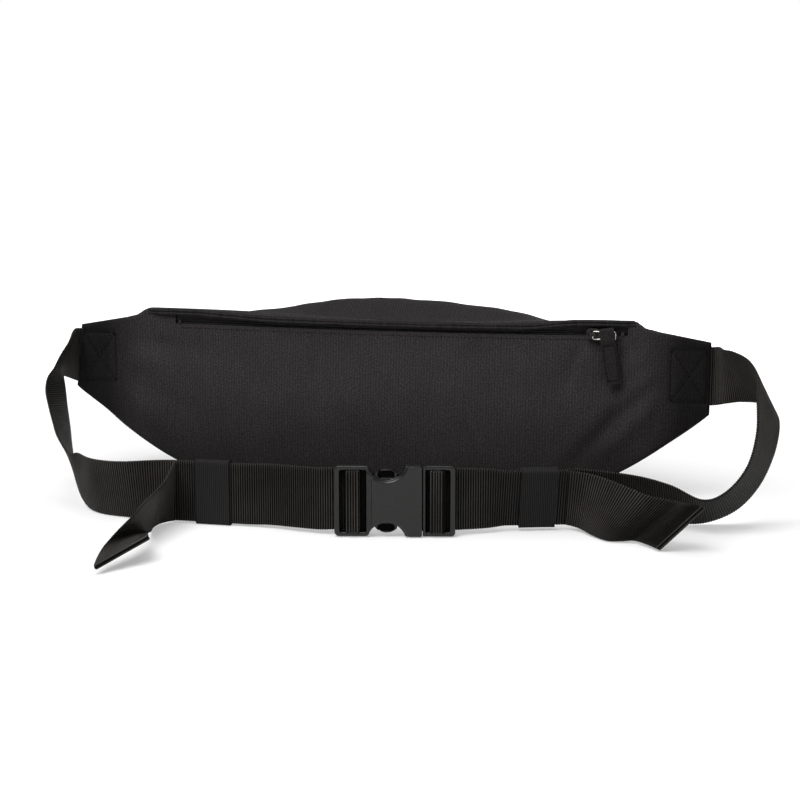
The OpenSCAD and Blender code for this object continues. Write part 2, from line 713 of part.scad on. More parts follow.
module ladder_plate(x0, x1, window, bar) {
    upright(frame_front, frame_t) difference() {
        translate([x0, -buckle_w / 2]) square([x1 - x0, buckle_w]);
        difference() {
            translate([window[0], -buckle_w / 2 + rail])
                square([window[1] - window[0], buckle_w - 2 * rail]);
            translate([bar - bar_w / 2, -buckle_w]) square([bar_w, 2 * buckle_w]);
        }
    }
}

module scoops(r, reach) {
    for (side = [-1, 1])
        translate([scoop_x, reach, side * (buckle_w / 2 - scoop_depth + scoop_r)])
            rotate([90, 0, 0]) cylinder(h = 2 * reach, r = r, $fn = 48);
}

// The female half: a hollow housing and a ladder that the left webbing wraps
module buckle_female() {
    color(plastic_color) at_buckle() {
        difference() {
            translate([female_window[1], -buckle_t / 2, -buckle_w / 2])
                cube([mouth_x - female_window[1], buckle_t, buckle_w]);
            translate([female_window[1] + 3, -buckle_t / 2 + housing_wall,
                -buckle_w / 2 + side_wall])
                cube([mouth_x - female_window[1], buckle_t - 2 * housing_wall,
                    buckle_w - 2 * side_wall]);
            scoops(scoop_r, buckle_t);
        }
        ladder_plate(-end_x, female_window[1] + 0.01, female_window, female_bar);
    }
}

inner_half = buckle_w / 2 - side_wall;
inner_thick = buckle_t - 2 * housing_wall;
root_x = 12.5;

// The male half: a root block that plugs the mouth, a guide tongue and a ladder
module buckle_male() {
    color(plastic_color) at_buckle() {
        translate([root_x, -inner_thick / 2 + buckle_play, -inner_half + buckle_play])
            cube([mouth_x + buckle_play + 0.01 - root_x, inner_thick - 2 * buckle_play,
                2 * inner_half - 2 * buckle_play]);
        translate([-10, -1.4, -3.4]) cube([root_x + 10.01, 2.8, 6.8]);
        ladder_plate(mouth_x + buckle_play, end_x, male_window, male_bar);
    }
}

// A prong: a springy arm with a round pad that shows in the scoop
prong_x = root_x - 2;
prong_z = inner_half - 6.2;
prong_arm = 3;
prong_t = inner_thick - 2 * buckle_play;
pad_r = 9.2;
module prong(side) {
    color(plastic_color) at_buckle() mirror([0, 0, side < 0 ? 1 : 0])
        upright(-prong_t / 2, prong_t) {
            translate([prong_x, prong_z]) circle(r = prong_arm / 2, $fn = 32);
            translate([scoop_x - 7, prong_z - prong_arm / 2])
                square([prong_x - scoop_x + 7, prong_arm]);
            intersection() {
                translate([scoop_x, buckle_w / 2 - 2.2 - pad_r]) circle(r = pad_r, $fn = 64);
                translate([scoop_x - 7, prong_z]) square([13.4, 12]);
            }
        }
}
module prong_upper() { prong(1); }
module prong_lower() { prong(-1); }

// Webbing wraps the centre bar: behind the end bar, up through the first slot, over
// the bar, down through the second slot and back
buckle_low = buckle_at.z - web_w / 2;
wrap_front = frame_front - layer_gap - web_t / 2;
wrap_near = frame_front + frame_t + layer_gap + 0.3 + web_t / 2;
wrap_far = wrap_near + web_t + 0.4;
function station(p, low) = [p.x, p.y, low, 0, 0, 38];
function wrap(side, bar) = let (q = bar_w / 2 + web_t / 2 + layer_gap) [
    for (p = [[-q - 9, wrap_near], [-q - 5, wrap_near], [-q - 1, wrap_near - 1.8],
        [-q, 0], [-q, frame_front + 0.6], [-q + 0.4, wrap_front + 0.3], [-q + 2, wrap_front],
        [0, wrap_front], [q - 2, wrap_front], [q - 0.4, wrap_front + 0.3],
        [q, frame_front + 0.6], [q, 0], [q - 0.4, wrap_far - 1.8], [q - 3, wrap_far],
        [-q - 5, wrap_far], [-q - 9, wrap_far]])
        station(from_buckle(bar + side * p[0], p[1]), buckle_low)];

loop_start = keep_left_x + straight_left + 0.4;
function lead_left(side) = [
    [loop_start, keep_left[0] - side * layer, keep_left[1], 0, 0, 38],
    [loop_start + 14, keep_left[0] - side * layer - 1, 2, 0, 0, 38],
    [loop_start + 32, keep_left[0] - side * layer - 5, 2.4, 0, 0, 38],
    [loop_start + 46, keep_left[0] - side * layer - 7.4, 2.6, 0, 0, 38]];
function backwards(list) = [for (i = [len(list) - 1 : -1 : 0]) list[i]];
belt_left_loop_route = concat(lead_left(1), wrap(1, female_bar), backwards(lead_left(-1)));
module belt_left_loop() { belt(belt_left_loop_route); }

function lead_right(side) = [
    beside_right(-straight_right - 0.4, side * layer),
    beside_right(-straight_right - 4, side * layer + 0.3),
    [88 + side * 0.5, back_y - 97.8 - side * layer, 3.2, 1, -5, 37]];
belt_right_loop_route = concat(lead_right(1), wrap(-1, male_bar), backwards(lead_right(-1)));
module belt_right_loop() { belt(belt_right_loop_route); }

back_panel();
welt_upper();
welt_lower();
pocket_lining();
back_foam();
front_panel();
inner_lining();
base_panel();
rear_strip();
top_lip();
top_end_left();
top_end_right();
main_tape_rear();
main_tape_front();
main_coil_rear();
main_coil_front();
main_stops();
main_slider();
main_ring();
main_tab();
pocket_tape_upper();
pocket_tape_lower();
pocket_coils();
pocket_stops();
pocket_slider();
pocket_ring();
pocket_tab();
binding_left();
binding_right();
box_stitch_left();
box_stitch_right();
belt_left();
belt_left_loop();
belt_left_tail();
belt_left_hem();
belt_right();
belt_right_loop();
belt_right_tail();
belt_right_hem();
keeper_left();
keeper_right();
buckle_female();
buckle_male();
prong_upper();
prong_lower();
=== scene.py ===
import math

import bmesh
import bpy
import numpy as np
from mathutils import Matrix, Vector, noise
from mathutils.bvhtree import BVHTree


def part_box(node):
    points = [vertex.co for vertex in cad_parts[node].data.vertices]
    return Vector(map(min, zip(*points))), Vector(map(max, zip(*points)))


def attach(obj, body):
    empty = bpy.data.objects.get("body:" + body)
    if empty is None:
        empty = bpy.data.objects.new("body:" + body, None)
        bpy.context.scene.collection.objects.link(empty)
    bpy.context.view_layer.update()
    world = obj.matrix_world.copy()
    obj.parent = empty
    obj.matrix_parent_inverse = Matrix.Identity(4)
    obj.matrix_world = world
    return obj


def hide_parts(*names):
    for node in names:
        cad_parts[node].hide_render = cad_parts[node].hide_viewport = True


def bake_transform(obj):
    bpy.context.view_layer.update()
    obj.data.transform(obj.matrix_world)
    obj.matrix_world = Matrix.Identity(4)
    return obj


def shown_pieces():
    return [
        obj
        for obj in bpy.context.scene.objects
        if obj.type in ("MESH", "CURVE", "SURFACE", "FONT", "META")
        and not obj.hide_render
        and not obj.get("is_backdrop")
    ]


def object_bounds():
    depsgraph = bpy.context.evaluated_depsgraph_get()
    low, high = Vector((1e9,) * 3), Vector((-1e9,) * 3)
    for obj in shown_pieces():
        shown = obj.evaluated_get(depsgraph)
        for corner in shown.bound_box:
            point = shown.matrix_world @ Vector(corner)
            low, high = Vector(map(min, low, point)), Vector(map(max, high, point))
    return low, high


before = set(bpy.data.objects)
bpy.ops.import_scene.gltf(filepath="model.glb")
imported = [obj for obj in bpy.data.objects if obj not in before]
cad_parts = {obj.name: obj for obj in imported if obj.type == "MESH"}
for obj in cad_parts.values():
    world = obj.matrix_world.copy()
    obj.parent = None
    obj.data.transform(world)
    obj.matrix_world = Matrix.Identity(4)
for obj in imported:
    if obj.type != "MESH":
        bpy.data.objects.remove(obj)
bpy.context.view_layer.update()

# ---------- the photograph's view ----------
# The camera stands to the right of the bag's middle and looks slightly down on it,
# as the photographer did. The points are places seen in the photograph, in pixels.
CAMERA_PLACE = Vector((0.2546, -1.090, 0.247))
CAMERA_TURN = 13.0
CAMERA_TILT = 9.7
CAMERA_LENS = 73.4
SENSOR = 36.0
PHOTO_SIDE = 800

points = {
    "whole_left": (46.0, 389.0), "whole_right": (777.5, 430.0),
    "whole_top": (345.0, 299.0), "whole_bottom": (95.0, 571.0),
    "wing_left_top": (82.4, 323.6), "wing_left_low": (75.8, 383.0),
    "wing_right_top": (709.4, 342.2), "wing_right_low": (708.0, 416.6),
    "shoulder_right": (640.0, 321.0), "pocket_slider": (591.0, 332.0),
    "tab_end": (613.7, 381.5), "hem_row_left": (250.0, 329.0),
    "hem_row_right": (520.0, 340.0), "buckle_left": (334.8, 500.0),
    "buckle_right": (456.0, 500.0), "keeper_left": (214.5, 493.2),
    "keeper_right": (539.5, 496.6), "end_left": (95.5, 569.0),
    "end_right": (657.6, 551.0),
}

camera_data = bpy.data.cameras.new("photo_view")
camera_data.lens = CAMERA_LENS
camera_data.sensor_width = SENSOR
camera_data.sensor_fit = "AUTO"
camera_data.clip_start, camera_data.clip_end = 0.05, 50
camera = bpy.data.objects.new("photo_view", camera_data)
bpy.context.scene.collection.objects.link(camera)
camera.location = CAMERA_PLACE
camera.rotation_euler = (math.radians(90 - CAMERA_TILT), 0, math.radians(CAMERA_TURN))
bpy.context.scene.camera = camera
bpy.context.view_layer.update()


def sight(point):
    """The way from the camera through a point of the photograph."""
    way = Vector((point[0] - PHOTO_SIDE / 2, PHOTO_SIDE / 2 - point[1],
                  -PHOTO_SIDE * CAMERA_LENS / SENSOR))
    return (camera.matrix_world.to_3x3() @ way).normalized()


def seen_on(point, tree):
    """Where a point of the photograph lies on a surface, and the surface's normal."""
    way = sight(point)
    place, normal, _, _ = tree.ray_cast(CAMERA_PLACE, way)
    if place is None:
        steps = [tree.find_nearest(CAMERA_PLACE + way * (0.8 + 0.004 * i)) for i in range(180)]
        place, normal = min(steps, key=lambda hit: hit[3])[:2]
    return place, normal


# ---------- back cloth ----------
# The panel that lies against the wearer: black ribbed canvas, cut in one piece with
# the backs of both wings. A long slot near its top edge takes the pocket's zip.
MM = 0.001
WING_HALF, BODY_HALF, DEPTH = 216.0, 182.0, 88.0
WING_LOW, WING_TOP, WING_DEPTH = 62.0, 107.5, 6.8
EDGE_SHOULDER, SHOULDER_X = 120.5, 165.0
EDGE_DIP, EDGE_DIP_X, EDGE_DIP_W = 4.9, 22.0, 90.0
FLAT_HALF, SOLE, FULLNESS, SWELL = 98.0, 1.5, 4.3, 3.4
CORNER_LEFT, CORNER_RIGHT = 2.2, -1.4
BACK_Y, SHELL_Y = -40.0, -38.1
POCKET_Z, SLOT_HALF, POCKET_LEFT, POCKET_RIGHT = 111.5, 1.5, -146.0, 163.0
PANEL_T = 1.8


def step_between(a, b, x):
    """0 at a and 1 at b, turning smoothly between them."""
    k = min(max((x - a) / (b - a), 0.0), 1.0)
    return k * k * (3 - 2 * k)


def in_unit(vectors):
    """The same vectors, one to a row, each of length 1."""
    return vectors / np.linalg.norm(vectors, axis=1)[:, None]


def length_along(line):
    """How far each place of a line is from its start, along it."""
    return np.concatenate([[0], np.cumsum(np.linalg.norm(np.diff(line, axis=0), axis=1))])


def tube_faces(count, sides):
    """The faces of a tube of count rings with so many sides, closed at both ends."""
    return ([(i * sides + j, i * sides + (j + 1) % sides, (i + 1) * sides + (j + 1) % sides,
              (i + 1) * sides + j) for i in range(count - 1) for j in range(sides)]
            + [tuple(range(sides - 1, -1, -1)), tuple(range((count - 1) * sides, count * sides))])


def low_at(x):
    """Height of the bag's lower edge."""
    k = min(max(abs(x) - FLAT_HALF, 0) / (WING_HALF - FLAT_HALF), 1.0)
    corner = CORNER_LEFT * step_between(-185, -214, x) + CORNER_RIGHT * step_between(185, 214, x)
    return SOLE + (WING_LOW - SOLE) * k ** 1.5 - FULLNESS * math.sin(math.pi * k) + corner


def top_at(x):
    """Height of the back panel's top edge."""
    a = abs(x)
    if a <= SHOULDER_X:
        return EDGE_SHOULDER - EDGE_DIP * math.exp(-((x - EDGE_DIP_X) / EDGE_DIP_W) ** 2)
    return float(np.interp(a, [SHOULDER_X, 169, 174, BODY_HALF, WING_HALF],
                           [EDGE_SHOULDER, 119, 115.5, WING_TOP + 6, WING_TOP]))


def slot_sag(x):
    """How far the pocket's zip hangs below a straight line."""
    return 1.1 * max(0.0, 1 - ((x - 4) / 134) ** 2)


def slot_gape(x):
    """How far the slot's upper edge lifts off the zip towards its two ends."""
    return 2.6 * step_between(-70, -140, x) + 2.9 * step_between(92, 136, x)


def wing_flare(x, z):
    """How far the left wing's end slants out below its top corner."""
    return -5.0 * step_between(-194, -WING_HALF, x) * min(max((WING_TOP - z) / 45, 0.0), 1.0)


def ripple(x, y, z, size, seed):
    """Smooth unevenness between -1 and 1."""
    return noise.noise(Vector((x / size + seed, y / size - seed, z / size)))


# Folds of the back cloth: start, end, half width and height, all in mm. They run
# from the wings' stitched boxes to the body, and down from the pocket's slider.
back_folds = [
    ((-188, 66), (-146, 26), 7, 2.6), ((-172, 70), (-128, 46), 8, -1.6),
    ((-182, 84), (-146, 82), 8, 1.5), ((-160, 100), (-136, 58), 8, -1.4),
    ((-178, 98), (-120, 92), 7, -1.0), ((186, 72), (138, 26), 7, 2.8),
    ((176, 74), (126, 24), 6.5, -2.4), ((182, 88), (150, 60), 6, 1.8),
    ((164, 86), (148, 40), 6.5, -1.6), ((150, 60), (112, 16), 7, 1.6),
    ((131, 104), (124, 76), 3.6, -1.4), ((140, 106), (136, 84), 3.0, 0.8),
    ((160, 106), (150, 74), 6.0, -2.2), ((172, 100), (158, 80), 6, 1.5),
    ((-60, 70), (40, 62), 22, 1.0), ((20, 96), (-40, 30), 20, 0.9),
    ((-110, 60), (-70, 20), 16, 0.9), ((70, 80), (96, 24), 16, -0.8),
]


def fold_height(x, z, folds):
    """Height that the folds add at a place on the cloth."""
    total = 0.0
    for (x0, z0), (x1, z1), width, height in folds:
        dx, dz = x1 - x0, z1 - z0
        k = ((x - x0) * dx + (z - z0) * dz) / (dx * dx + dz * dz)
        c = min(max(k, 0.0), 1.0)
        d2 = (x - x0 - c * dx) ** 2 + (z - z0 - c * dz) ** 2
        fade = 1 - 0.75 * abs(2 * c - 1) ** 3
        total += height * fade * math.exp(-d2 / (width * width))
    return total


# the stitched boxes' middle lines, as x and height, from the CAD's stitches
STITCH_HALF, SEWN_HALF, ROW_PULL, CROSS_PULL = 0.4, 1.2, 0.8, 0.5
sewn_boxes = []
for word in ("left", "right"):
    low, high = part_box("box_stitch_" + word)
    sewn_boxes.append((low.x / MM + STITCH_HALF, high.x / MM - STITCH_HALF,
                       low.z / MM + STITCH_HALF, high.z / MM - STITCH_HALF))


def sewn_down(x, z):
    """How far the rows of the stitched boxes pull the cloth in."""
    pull = 0.0
    for x0, x1, z0, z1 in sewn_boxes:
        beyond = max(x0 - x, x - x1, z0 - z, z - z1)
        pull += ROW_PULL * math.exp(-(beyond / SEWN_HALF) ** 2)
        across, up = (x - x0) / (x1 - x0), (z - z0) / (z1 - z0)
        if beyond < 0:
            for off in (across - up, across + up - 1):
                pull += CROSS_PULL * math.exp(-(off * (z1 - z0) * 0.6 / SEWN_HALF) ** 2)
    return pull


def back_swell(x, z):
    """How far the stuffed back stands proud of its flat pattern."""
    inside = min(1.0, max(0.0, (z - low_at(x)) / 96))
    body = max(0.0, 1 - (abs(x) / 178) ** 3)
    below_slot = 1 - step_between(96, 107, z)
    calm = 0.7 * ripple(x, 0, z, 34, 3.1) + 0.3 * ripple(x, 0, z, 15, 8.2)
    in_wing = 1 - step_between(178, 186, abs(x))
    return below_slot * (SWELL * body * math.sin(math.pi * inside ** 0.8)
                         + in_wing * fold_height(x, z, back_folds)) + below_slot * calm


def edge_roll(depth, radius):
    """How far a turned edge falls back at a distance from its rim."""
    gap = max(0.0, radius - depth)
    return radius - math.sqrt(radius * radius - gap * gap)


def grid_mesh(name, rows, outward, skip=None):
    """A sheet through a grid of places in mm, with its lengths in mm as a UV map.
    Its faces point along outward, which is a way or a point inside a shell."""
    count = len(rows[0])
    mesh = bpy.data.meshes.new(name)
    flat = [tuple(c * MM for c in p) for row in rows for p in row]
    quads = [(i * count + j, i * count + j + 1, (i + 1) * count + j + 1, (i + 1) * count + j)
             for i in range(len(rows) - 1) for j in range(count - 1)
             if not (skip and skip(i, j))]
    grid = np.array(rows, float)
    down = np.zeros(grid.shape[:2])
    down[:, 1:] = np.cumsum(np.linalg.norm(np.diff(grid, axis=1), axis=2), axis=1)
    down -= down[:, -1:]
    a, b, c = (np.array(flat[quads[len(quads) // 2][k]]) for k in (0, 1, 2))
    if isinstance(outward, Vector):
        facing = np.array(outward)
    else:
        facing = (a + b + c) / 3 - np.array(outward) * MM
    if np.dot(np.cross(b - a, c - a), facing) < 0:
        quads = [q[::-1] for q in quads]
    mesh.from_pydata(flat, [], quads)
    uv = mesh.uv_layers.new(name="cloth")
    across = grid[:, :, 0].ravel()
    along = down.ravel()
    loops = np.array([v for q in quads for v in q])
    uv.data.foreach_set("uv", np.stack([across[loops], along[loops]], 1).ravel())
    loose = bmesh.new()
    loose.from_mesh(mesh)
    bmesh.ops.delete(loose, geom=[v for v in loose.verts if not v.link_faces], context="VERTS")
    loose.to_mesh(mesh)
    loose.free()
    return added(name, mesh)


def added(name, mesh, smooth_angle=None):
    """A mesh as a new object, whose faces turn outwards if it is to be smoothed."""
    if smooth_angle is not None:
        shape = bmesh.new()
        shape.from_mesh(mesh)
        bmesh.ops.recalc_face_normals(shape, faces=shape.faces)
        shape.to_mesh(mesh)
        shape.free()
    piece = bpy.data.objects.new(name, mesh)
    bpy.context.scene.collection.objects.link(piece)
    if smooth_angle is not None:
        alone(piece)
        bpy.ops.object.shade_smooth_by_angle(angle=math.radians(smooth_angle))
    return piece


def merge_doubles(piece):
    """Closes a sheet's seam where its last row meets its first."""
    shape = bmesh.new()
    shape.from_mesh(piece.data)
    bmesh.ops.remove_doubles(shape, verts=shape.verts, dist=1e-6)
    shape.to_mesh(piece.data)
    shape.free()


def alone(piece):
    """Makes a piece the only one that operators act on."""
    bpy.ops.object.select_all(action="DESELECT")
    piece.select_set(True)
    bpy.context.view_layer.objects.active = piece


def finish_modifier(piece, kind, **settings):
    """Adds a modifier to a piece and applies it."""
    alone(piece)
    modifier = piece.modifiers.new(kind.lower(), kind)
    for key, value in settings.items():
        setattr(modifier, key, value)
    bpy.ops.object.modifier_apply(modifier=modifier.name)


def thicken(piece, thickness):
    """Gives a sheet its cloth thickness, inwards, and rounds its shading."""
    finish_modifier(piece, "SOLIDIFY", thickness=thickness * MM, offset=-1.0,
                    use_even_offset=False)
    alone(piece)
    bpy.ops.object.shade_smooth_by_angle(angle=math.radians(50))


def new_material(name, colour, roughness, **shader):
    """A material with its shader's own sockets set, ready for pattern nodes."""
    made = bpy.data.materials.new(name)
    made.use_nodes = True
    made.diffuse_color = (*colour, 1)
    surface = made.node_tree.nodes["Principled BSDF"]
    surface.inputs["Base Color"].default_value = (*colour, 1)
    surface.inputs["Roughness"].default_value = roughness
    for key, value in shader.items():
        surface.inputs[key.replace("_", " ")].default_value = value
    return made, made.node_tree, surface


def add_node(tree, kind, links=(), **values):
    """Adds a node with its settings, and links (socket, source) pairs into it."""
    made = tree.nodes.new(kind)
    for key, value in values.items():
        if hasattr(made, key):
            setattr(made, key, value)
        else:
            made.inputs[key.replace("_", " ")].default_value = value
    for socket, source in links:
        tree.links.new(source, made.inputs[socket])
    return made


def maths(tree, operation, *values):
    """One operation on numbers, given as floats, and on other nodes' values."""
    made = tree.nodes.new("ShaderNodeMath")
    made.operation = operation
    for socket, value in zip(made.inputs, values):
        if isinstance(value, float):
            socket.default_value = value
        else:
            tree.links.new(value, socket)
    return made.outputs[0]


def ribs(tree, coordinate, pitch, wander=None):
    """Even ribs across one coordinate, from 0 to 1, that may wander a little."""
    if wander is not None:
        coordinate = maths(tree, "ADD", coordinate, wander)
    turns = maths(tree, "MULTIPLY", coordinate, 2 * math.pi / pitch)
    return maths(tree, "MULTIPLY_ADD", maths(tree, "SINE", turns), 0.5, 0.5)


def mixed(tree, factor, dark, light):
    """A colour between two, by a pattern."""
    made = add_node(tree, "ShaderNodeMix", [("Factor", factor)], data_type="RGBA")
    made.inputs["A"].default_value = (*dark, 1)
    made.inputs["B"].default_value = (*light, 1)
    return made.outputs["Result"]


def multiplied(tree, a, b):
    """Two colours or patterns multiplied."""
    made = add_node(tree, "ShaderNodeMix", [("A", a), ("B", b)], data_type="RGBA",
                    blend_type="MULTIPLY")
    made.inputs["Factor"].default_value = 1.0
    return made.outputs["Result"]


def ranged(tree, source, low, high, start=0.0, end=1.0):
    """A value between start and end, taken to between low and high."""
    made = add_node(tree, "ShaderNodeMapRange", [("Value", source)])
    made.inputs["From Min"].default_value, made.inputs["From Max"].default_value = start, end
    made.inputs["To Min"].default_value, made.inputs["To Max"].default_value = low, high
    return made.outputs["Result"]


def cloth_lengths(tree):
    """A cloth's lengths in mm, both together and split into X and Y."""
    uv = add_node(tree, "ShaderNodeUVMap", uv_map="cloth")
    return uv, add_node(tree, "ShaderNodeSeparateXYZ", [("Vector", uv.outputs["UV"])])


def cloth_noise(tree, uv, **values):
    """Uneven patches over a cloth, from 0 to 1."""
    made = add_node(tree, "ShaderNodeTexNoise", [("Vector", uv.outputs["UV"])], **values)
    return made.outputs["Fac"]


def in_solid(tree, kind, **values):
    """A texture that runs through a solid piece."""
    place = add_node(tree, "ShaderNodeTexCoord")
    return add_node(tree, kind, [("Vector", place.outputs["Object"])], **values)


def bumped(tree, surface, height, depth, strength=1.0):
    """Puts a relief of a real depth in metres on a material."""
    bump = add_node(tree, "ShaderNodeBump", [("Height", height)])
    bump.inputs["Strength"].default_value = strength
    bump.inputs["Distance"].default_value = depth
    tree.links.new(bump.outputs["Normal"], surface.inputs["Normal"])


# Fibres standing off a cloth hide its shine at a grazing view, so its index is low.
FUZZY = 1.16
# where painted shade darkens a panel: out along its wings, and down towards its foot
WING_SPAN, FOOT_SPAN = (172.0, 198.0), (-52.0, -112.0)


def canvas_material(name, dark, light, rib_pitch, weave_pitch, relief, wings=1.0, foot=1.0):
    """Woven polyester canvas with slubby ribs. It reads the cloth's lengths in mm.
    Painted shade may darken the wings and the foot of a panel, by a factor."""
    made, tree, surface = new_material(name, light, 0.82, Sheen_Weight=0.03,
                                       Sheen_Roughness=0.45, IOR=FUZZY)
    uv, split = cloth_lengths(tree)
    stretched = add_node(tree, "ShaderNodeMapping", [("Vector", uv.outputs["UV"])])
    stretched.inputs["Scale"].default_value = (0.9, 0.06, 1)
    slub = add_node(tree, "ShaderNodeTexNoise", [("Vector", stretched.outputs["Vector"])],
                    Scale=1.0, Detail=3.0, Roughness=0.6)
    wander = maths(tree, "MULTIPLY", slub.outputs["Fac"], rib_pitch * 0.9)
    regular = ribs(tree, split.outputs["X"], rib_pitch, wander)
    upright = ranged(tree, regular, 0.25, 0.75)
    warp = ribs(tree, split.outputs["X"], weave_pitch)
    weft = ribs(tree, split.outputs["Y"], weave_pitch)
    weave = maths(tree, "MULTIPLY", warp, weft)
    grain = cloth_noise(tree, uv, Scale=0.95, Detail=3.0, Roughness=0.75)
    shade = cloth_noise(tree, uv, Scale=0.03, Detail=2.0)
    colour = mixed(tree, upright, dark, light)
    colour = multiplied(tree, colour, mixed(tree, weave, (0.55,) * 3, (1.6,) * 3))
    sharp = ranged(tree, grain, 0.0, 1.0, 0.32, 0.68)
    speckle = mixed(tree, sharp, (0.35,) * 3, (1.65,) * 3)
    colour = multiplied(tree, colour, speckle)
    colour = multiplied(tree, colour, mixed(tree, shade, (0.8,) * 3, (1.2,) * 3))
    # painted shade, out along the wings and down towards the foot
    from_middle = maths(tree, "ABSOLUTE", split.outputs["X"])
    for source, span, factor in ((from_middle, WING_SPAN, wings),
                                 (split.outputs["Y"], FOOT_SPAN, foot)):
        colour = multiplied(tree, colour, ranged(tree, source, 1.0, factor, *span))
    tree.links.new(colour, surface.inputs["Base Color"])
    rough = maths(tree, "ADD", maths(tree, "ADD", upright, weave), grain)
    bumped(tree, surface, rough, relief)
    return made


DARK_YARN, LIGHT_YARN = (0.019, 0.0171, 0.0176), (0.038, 0.0342, 0.0351)
CANVAS_RIB, CANVAS_WEAVE, CANVAS_RELIEF, PAINTED_PANEL_LIGHT = 1.9, 0.66, 0.00009, 1.38
canvas = canvas_material("black_canvas", DARK_YARN, LIGHT_YARN, CANVAS_RIB, CANVAS_WEAVE,
                         CANVAS_RELIEF)
# painted light: the back panel is lighter than the other canvas, and painted shade darkens its
# wings and foot; the front's wings get painted shade too
panel_canvas = canvas_material("black_canvas_panel", [c * PAINTED_PANEL_LIGHT for c in DARK_YARN],
                               [c * PAINTED_PANEL_LIGHT for c in LIGHT_YARN], CANVAS_RIB, CANVAS_WEAVE,
                               CANVAS_RELIEF, wings=0.28, foot=0.38)
front_canvas = canvas_material("black_canvas_front", DARK_YARN, LIGHT_YARN, CANVAS_RIB,
                               CANVAS_WEAVE, CANVAS_RELIEF, wings=0.4)
strip_canvas = canvas_material("black_canvas_strip", [c * 0.75 for c in DARK_YARN],
                               [c * 0.85 for c in LIGHT_YARN], CANVAS_WEAVE, 0.6, 0.00006)

# columns of the back cloth, with one at each end of the slot and more in the wings
back_columns = sorted({WING_HALF * i / 84 for i in range(-84, 85)}
                      | {POCKET_LEFT, POCKET_RIGHT}
                      | {side * (WING_HALF - 0.9 * i) for side in (-1, 1) for i in range(1, 46)})
ROWS_BELOW, ROWS_ABOVE = 44, 4


def back_column(x):
    """Places of the back cloth's outer face in one column, from low to high."""
    low, top = low_at(x), top_at(x)
    wing = step_between(164, 172, abs(x))
    slot = POCKET_Z - slot_sag(x)
    lower = (slot - SLOT_HALF) * (1 - wing) + (top - 4.5) * wing
    upper = (slot + SLOT_HALF + slot_gape(x)) * (1 - wing) + (top - 3.0) * wing
    heights = [low + (lower - low) * i / ROWS_BELOW for i in range(ROWS_BELOW)]
    heights += [lower, upper]
    heights += [upper + (top - upper) * i / ROWS_ABOVE for i in range(1, ROWS_ABOVE + 1)]
    line = []
    for z in heights:
        rim = min(z - low, top - z, WING_HALF - abs(x))
        y = BACK_Y - back_swell(x, z) * step_between(0, 6, rim) + edge_roll(rim, 1.7)
        y += sewn_down(x, z)
        line.append((x + wing_flare(x, z), y, z))
    return line


def in_slot(i, j):
    """Whether a face of the back cloth's grid lies in the zip's slot."""
    return (j == ROWS_BELOW and back_columns[i] >= POCKET_LEFT
            and back_columns[i + 1] <= POCKET_RIGHT)


back_cloth = grid_mesh("back_cloth", [back_column(x) for x in back_columns],
                       Vector((0, -1, 0)), in_slot)
thicken(back_cloth, PANEL_T - 0.1)
back_cloth.data.materials.append(panel_canvas)
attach(back_cloth, "bag")
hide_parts("back_panel")
back_tree = BVHTree.FromObject(back_cloth, bpy.context.evaluated_depsgraph_get())

# ---------- front cloth ----------
# One piece of canvas makes the front, the bottom and the fronts of both wings. It is
# sewn to the back panel all round, and it hangs in shallow folds between the seams.
CLOTH_T = 1.2
LIP_HALF, LIP_Y, ZIP_Y, ZIP_REVEAL = 122.0, 10.0, -21.0, 5.4
MOUTH_END = BODY_HALF - 6
PLATE_Z, TOP_RISE, RISE_HALF = 113.7, 13.5, 118.0
RIM, EDGE_SLOPE = 2.5, 9.0


def depth_at(x):
    """Depth of the bag."""
    k = min(abs(x), BODY_HALF) / BODY_HALF
    return WING_DEPTH + (DEPTH - WING_DEPTH) * (1 - k ** 2.6) ** 0.75


def plateau(x):
    """Height of the top cloth beside the zip."""
    return float(np.interp(abs(x), [154, 160, SHOULDER_X, MOUTH_END, BODY_HALF + 8, WING_HALF],
                           [PLATE_Z, PLATE_Z - 3.4, PLATE_Z - 7, PLATE_Z - 7,
                            top_at(BODY_HALF + 8), WING_TOP]))


def rise_at(x, y):
    """How far the stuffed top bulges up behind the zip."""
    return (TOP_RISE * max(0.0, 1 - (x / RISE_HALF) ** 2)
            * step_between(ZIP_Y + 4, ZIP_Y + 30, y))


def mouth_at(x):
    """Front limit of the cloth round the mouth."""
    if abs(x) <= LIP_HALF:
        return LIP_Y
    k = min((abs(x) - LIP_HALF) / (MOUTH_END - LIP_HALF), 1.0)
    return LIP_Y + (SHELL_Y - LIP_Y) * k


def top_z(x, y, inset=0.0):
    """Height of the top cloth."""
    deep = max(0.5, depth_at(x) - (SHELL_Y - BACK_Y) - inset)
    middle = (low_at(x) + top_at(x)) / 2
    k = min(max((y - SHELL_Y) / deep, 0.0), 1.0)
    up = plateau(x) + rise_at(x, y) - inset - middle
    slope = min(max(1 - (y - SHELL_Y - RIM) / EDGE_SLOPE, 0.0), 1.0)
    return middle + up * (1 - k ** 4) ** 0.25 + (top_at(x) - plateau(x)) * slope ** 2


def front_seam(x):
    """Where the front cloth is sewn to the lip, in front of the lip's fold."""
    return LIP_Y + 4 + 10 * (1 - (x / LIP_HALF) ** 2) if abs(x) <= LIP_HALF else mouth_at(x)


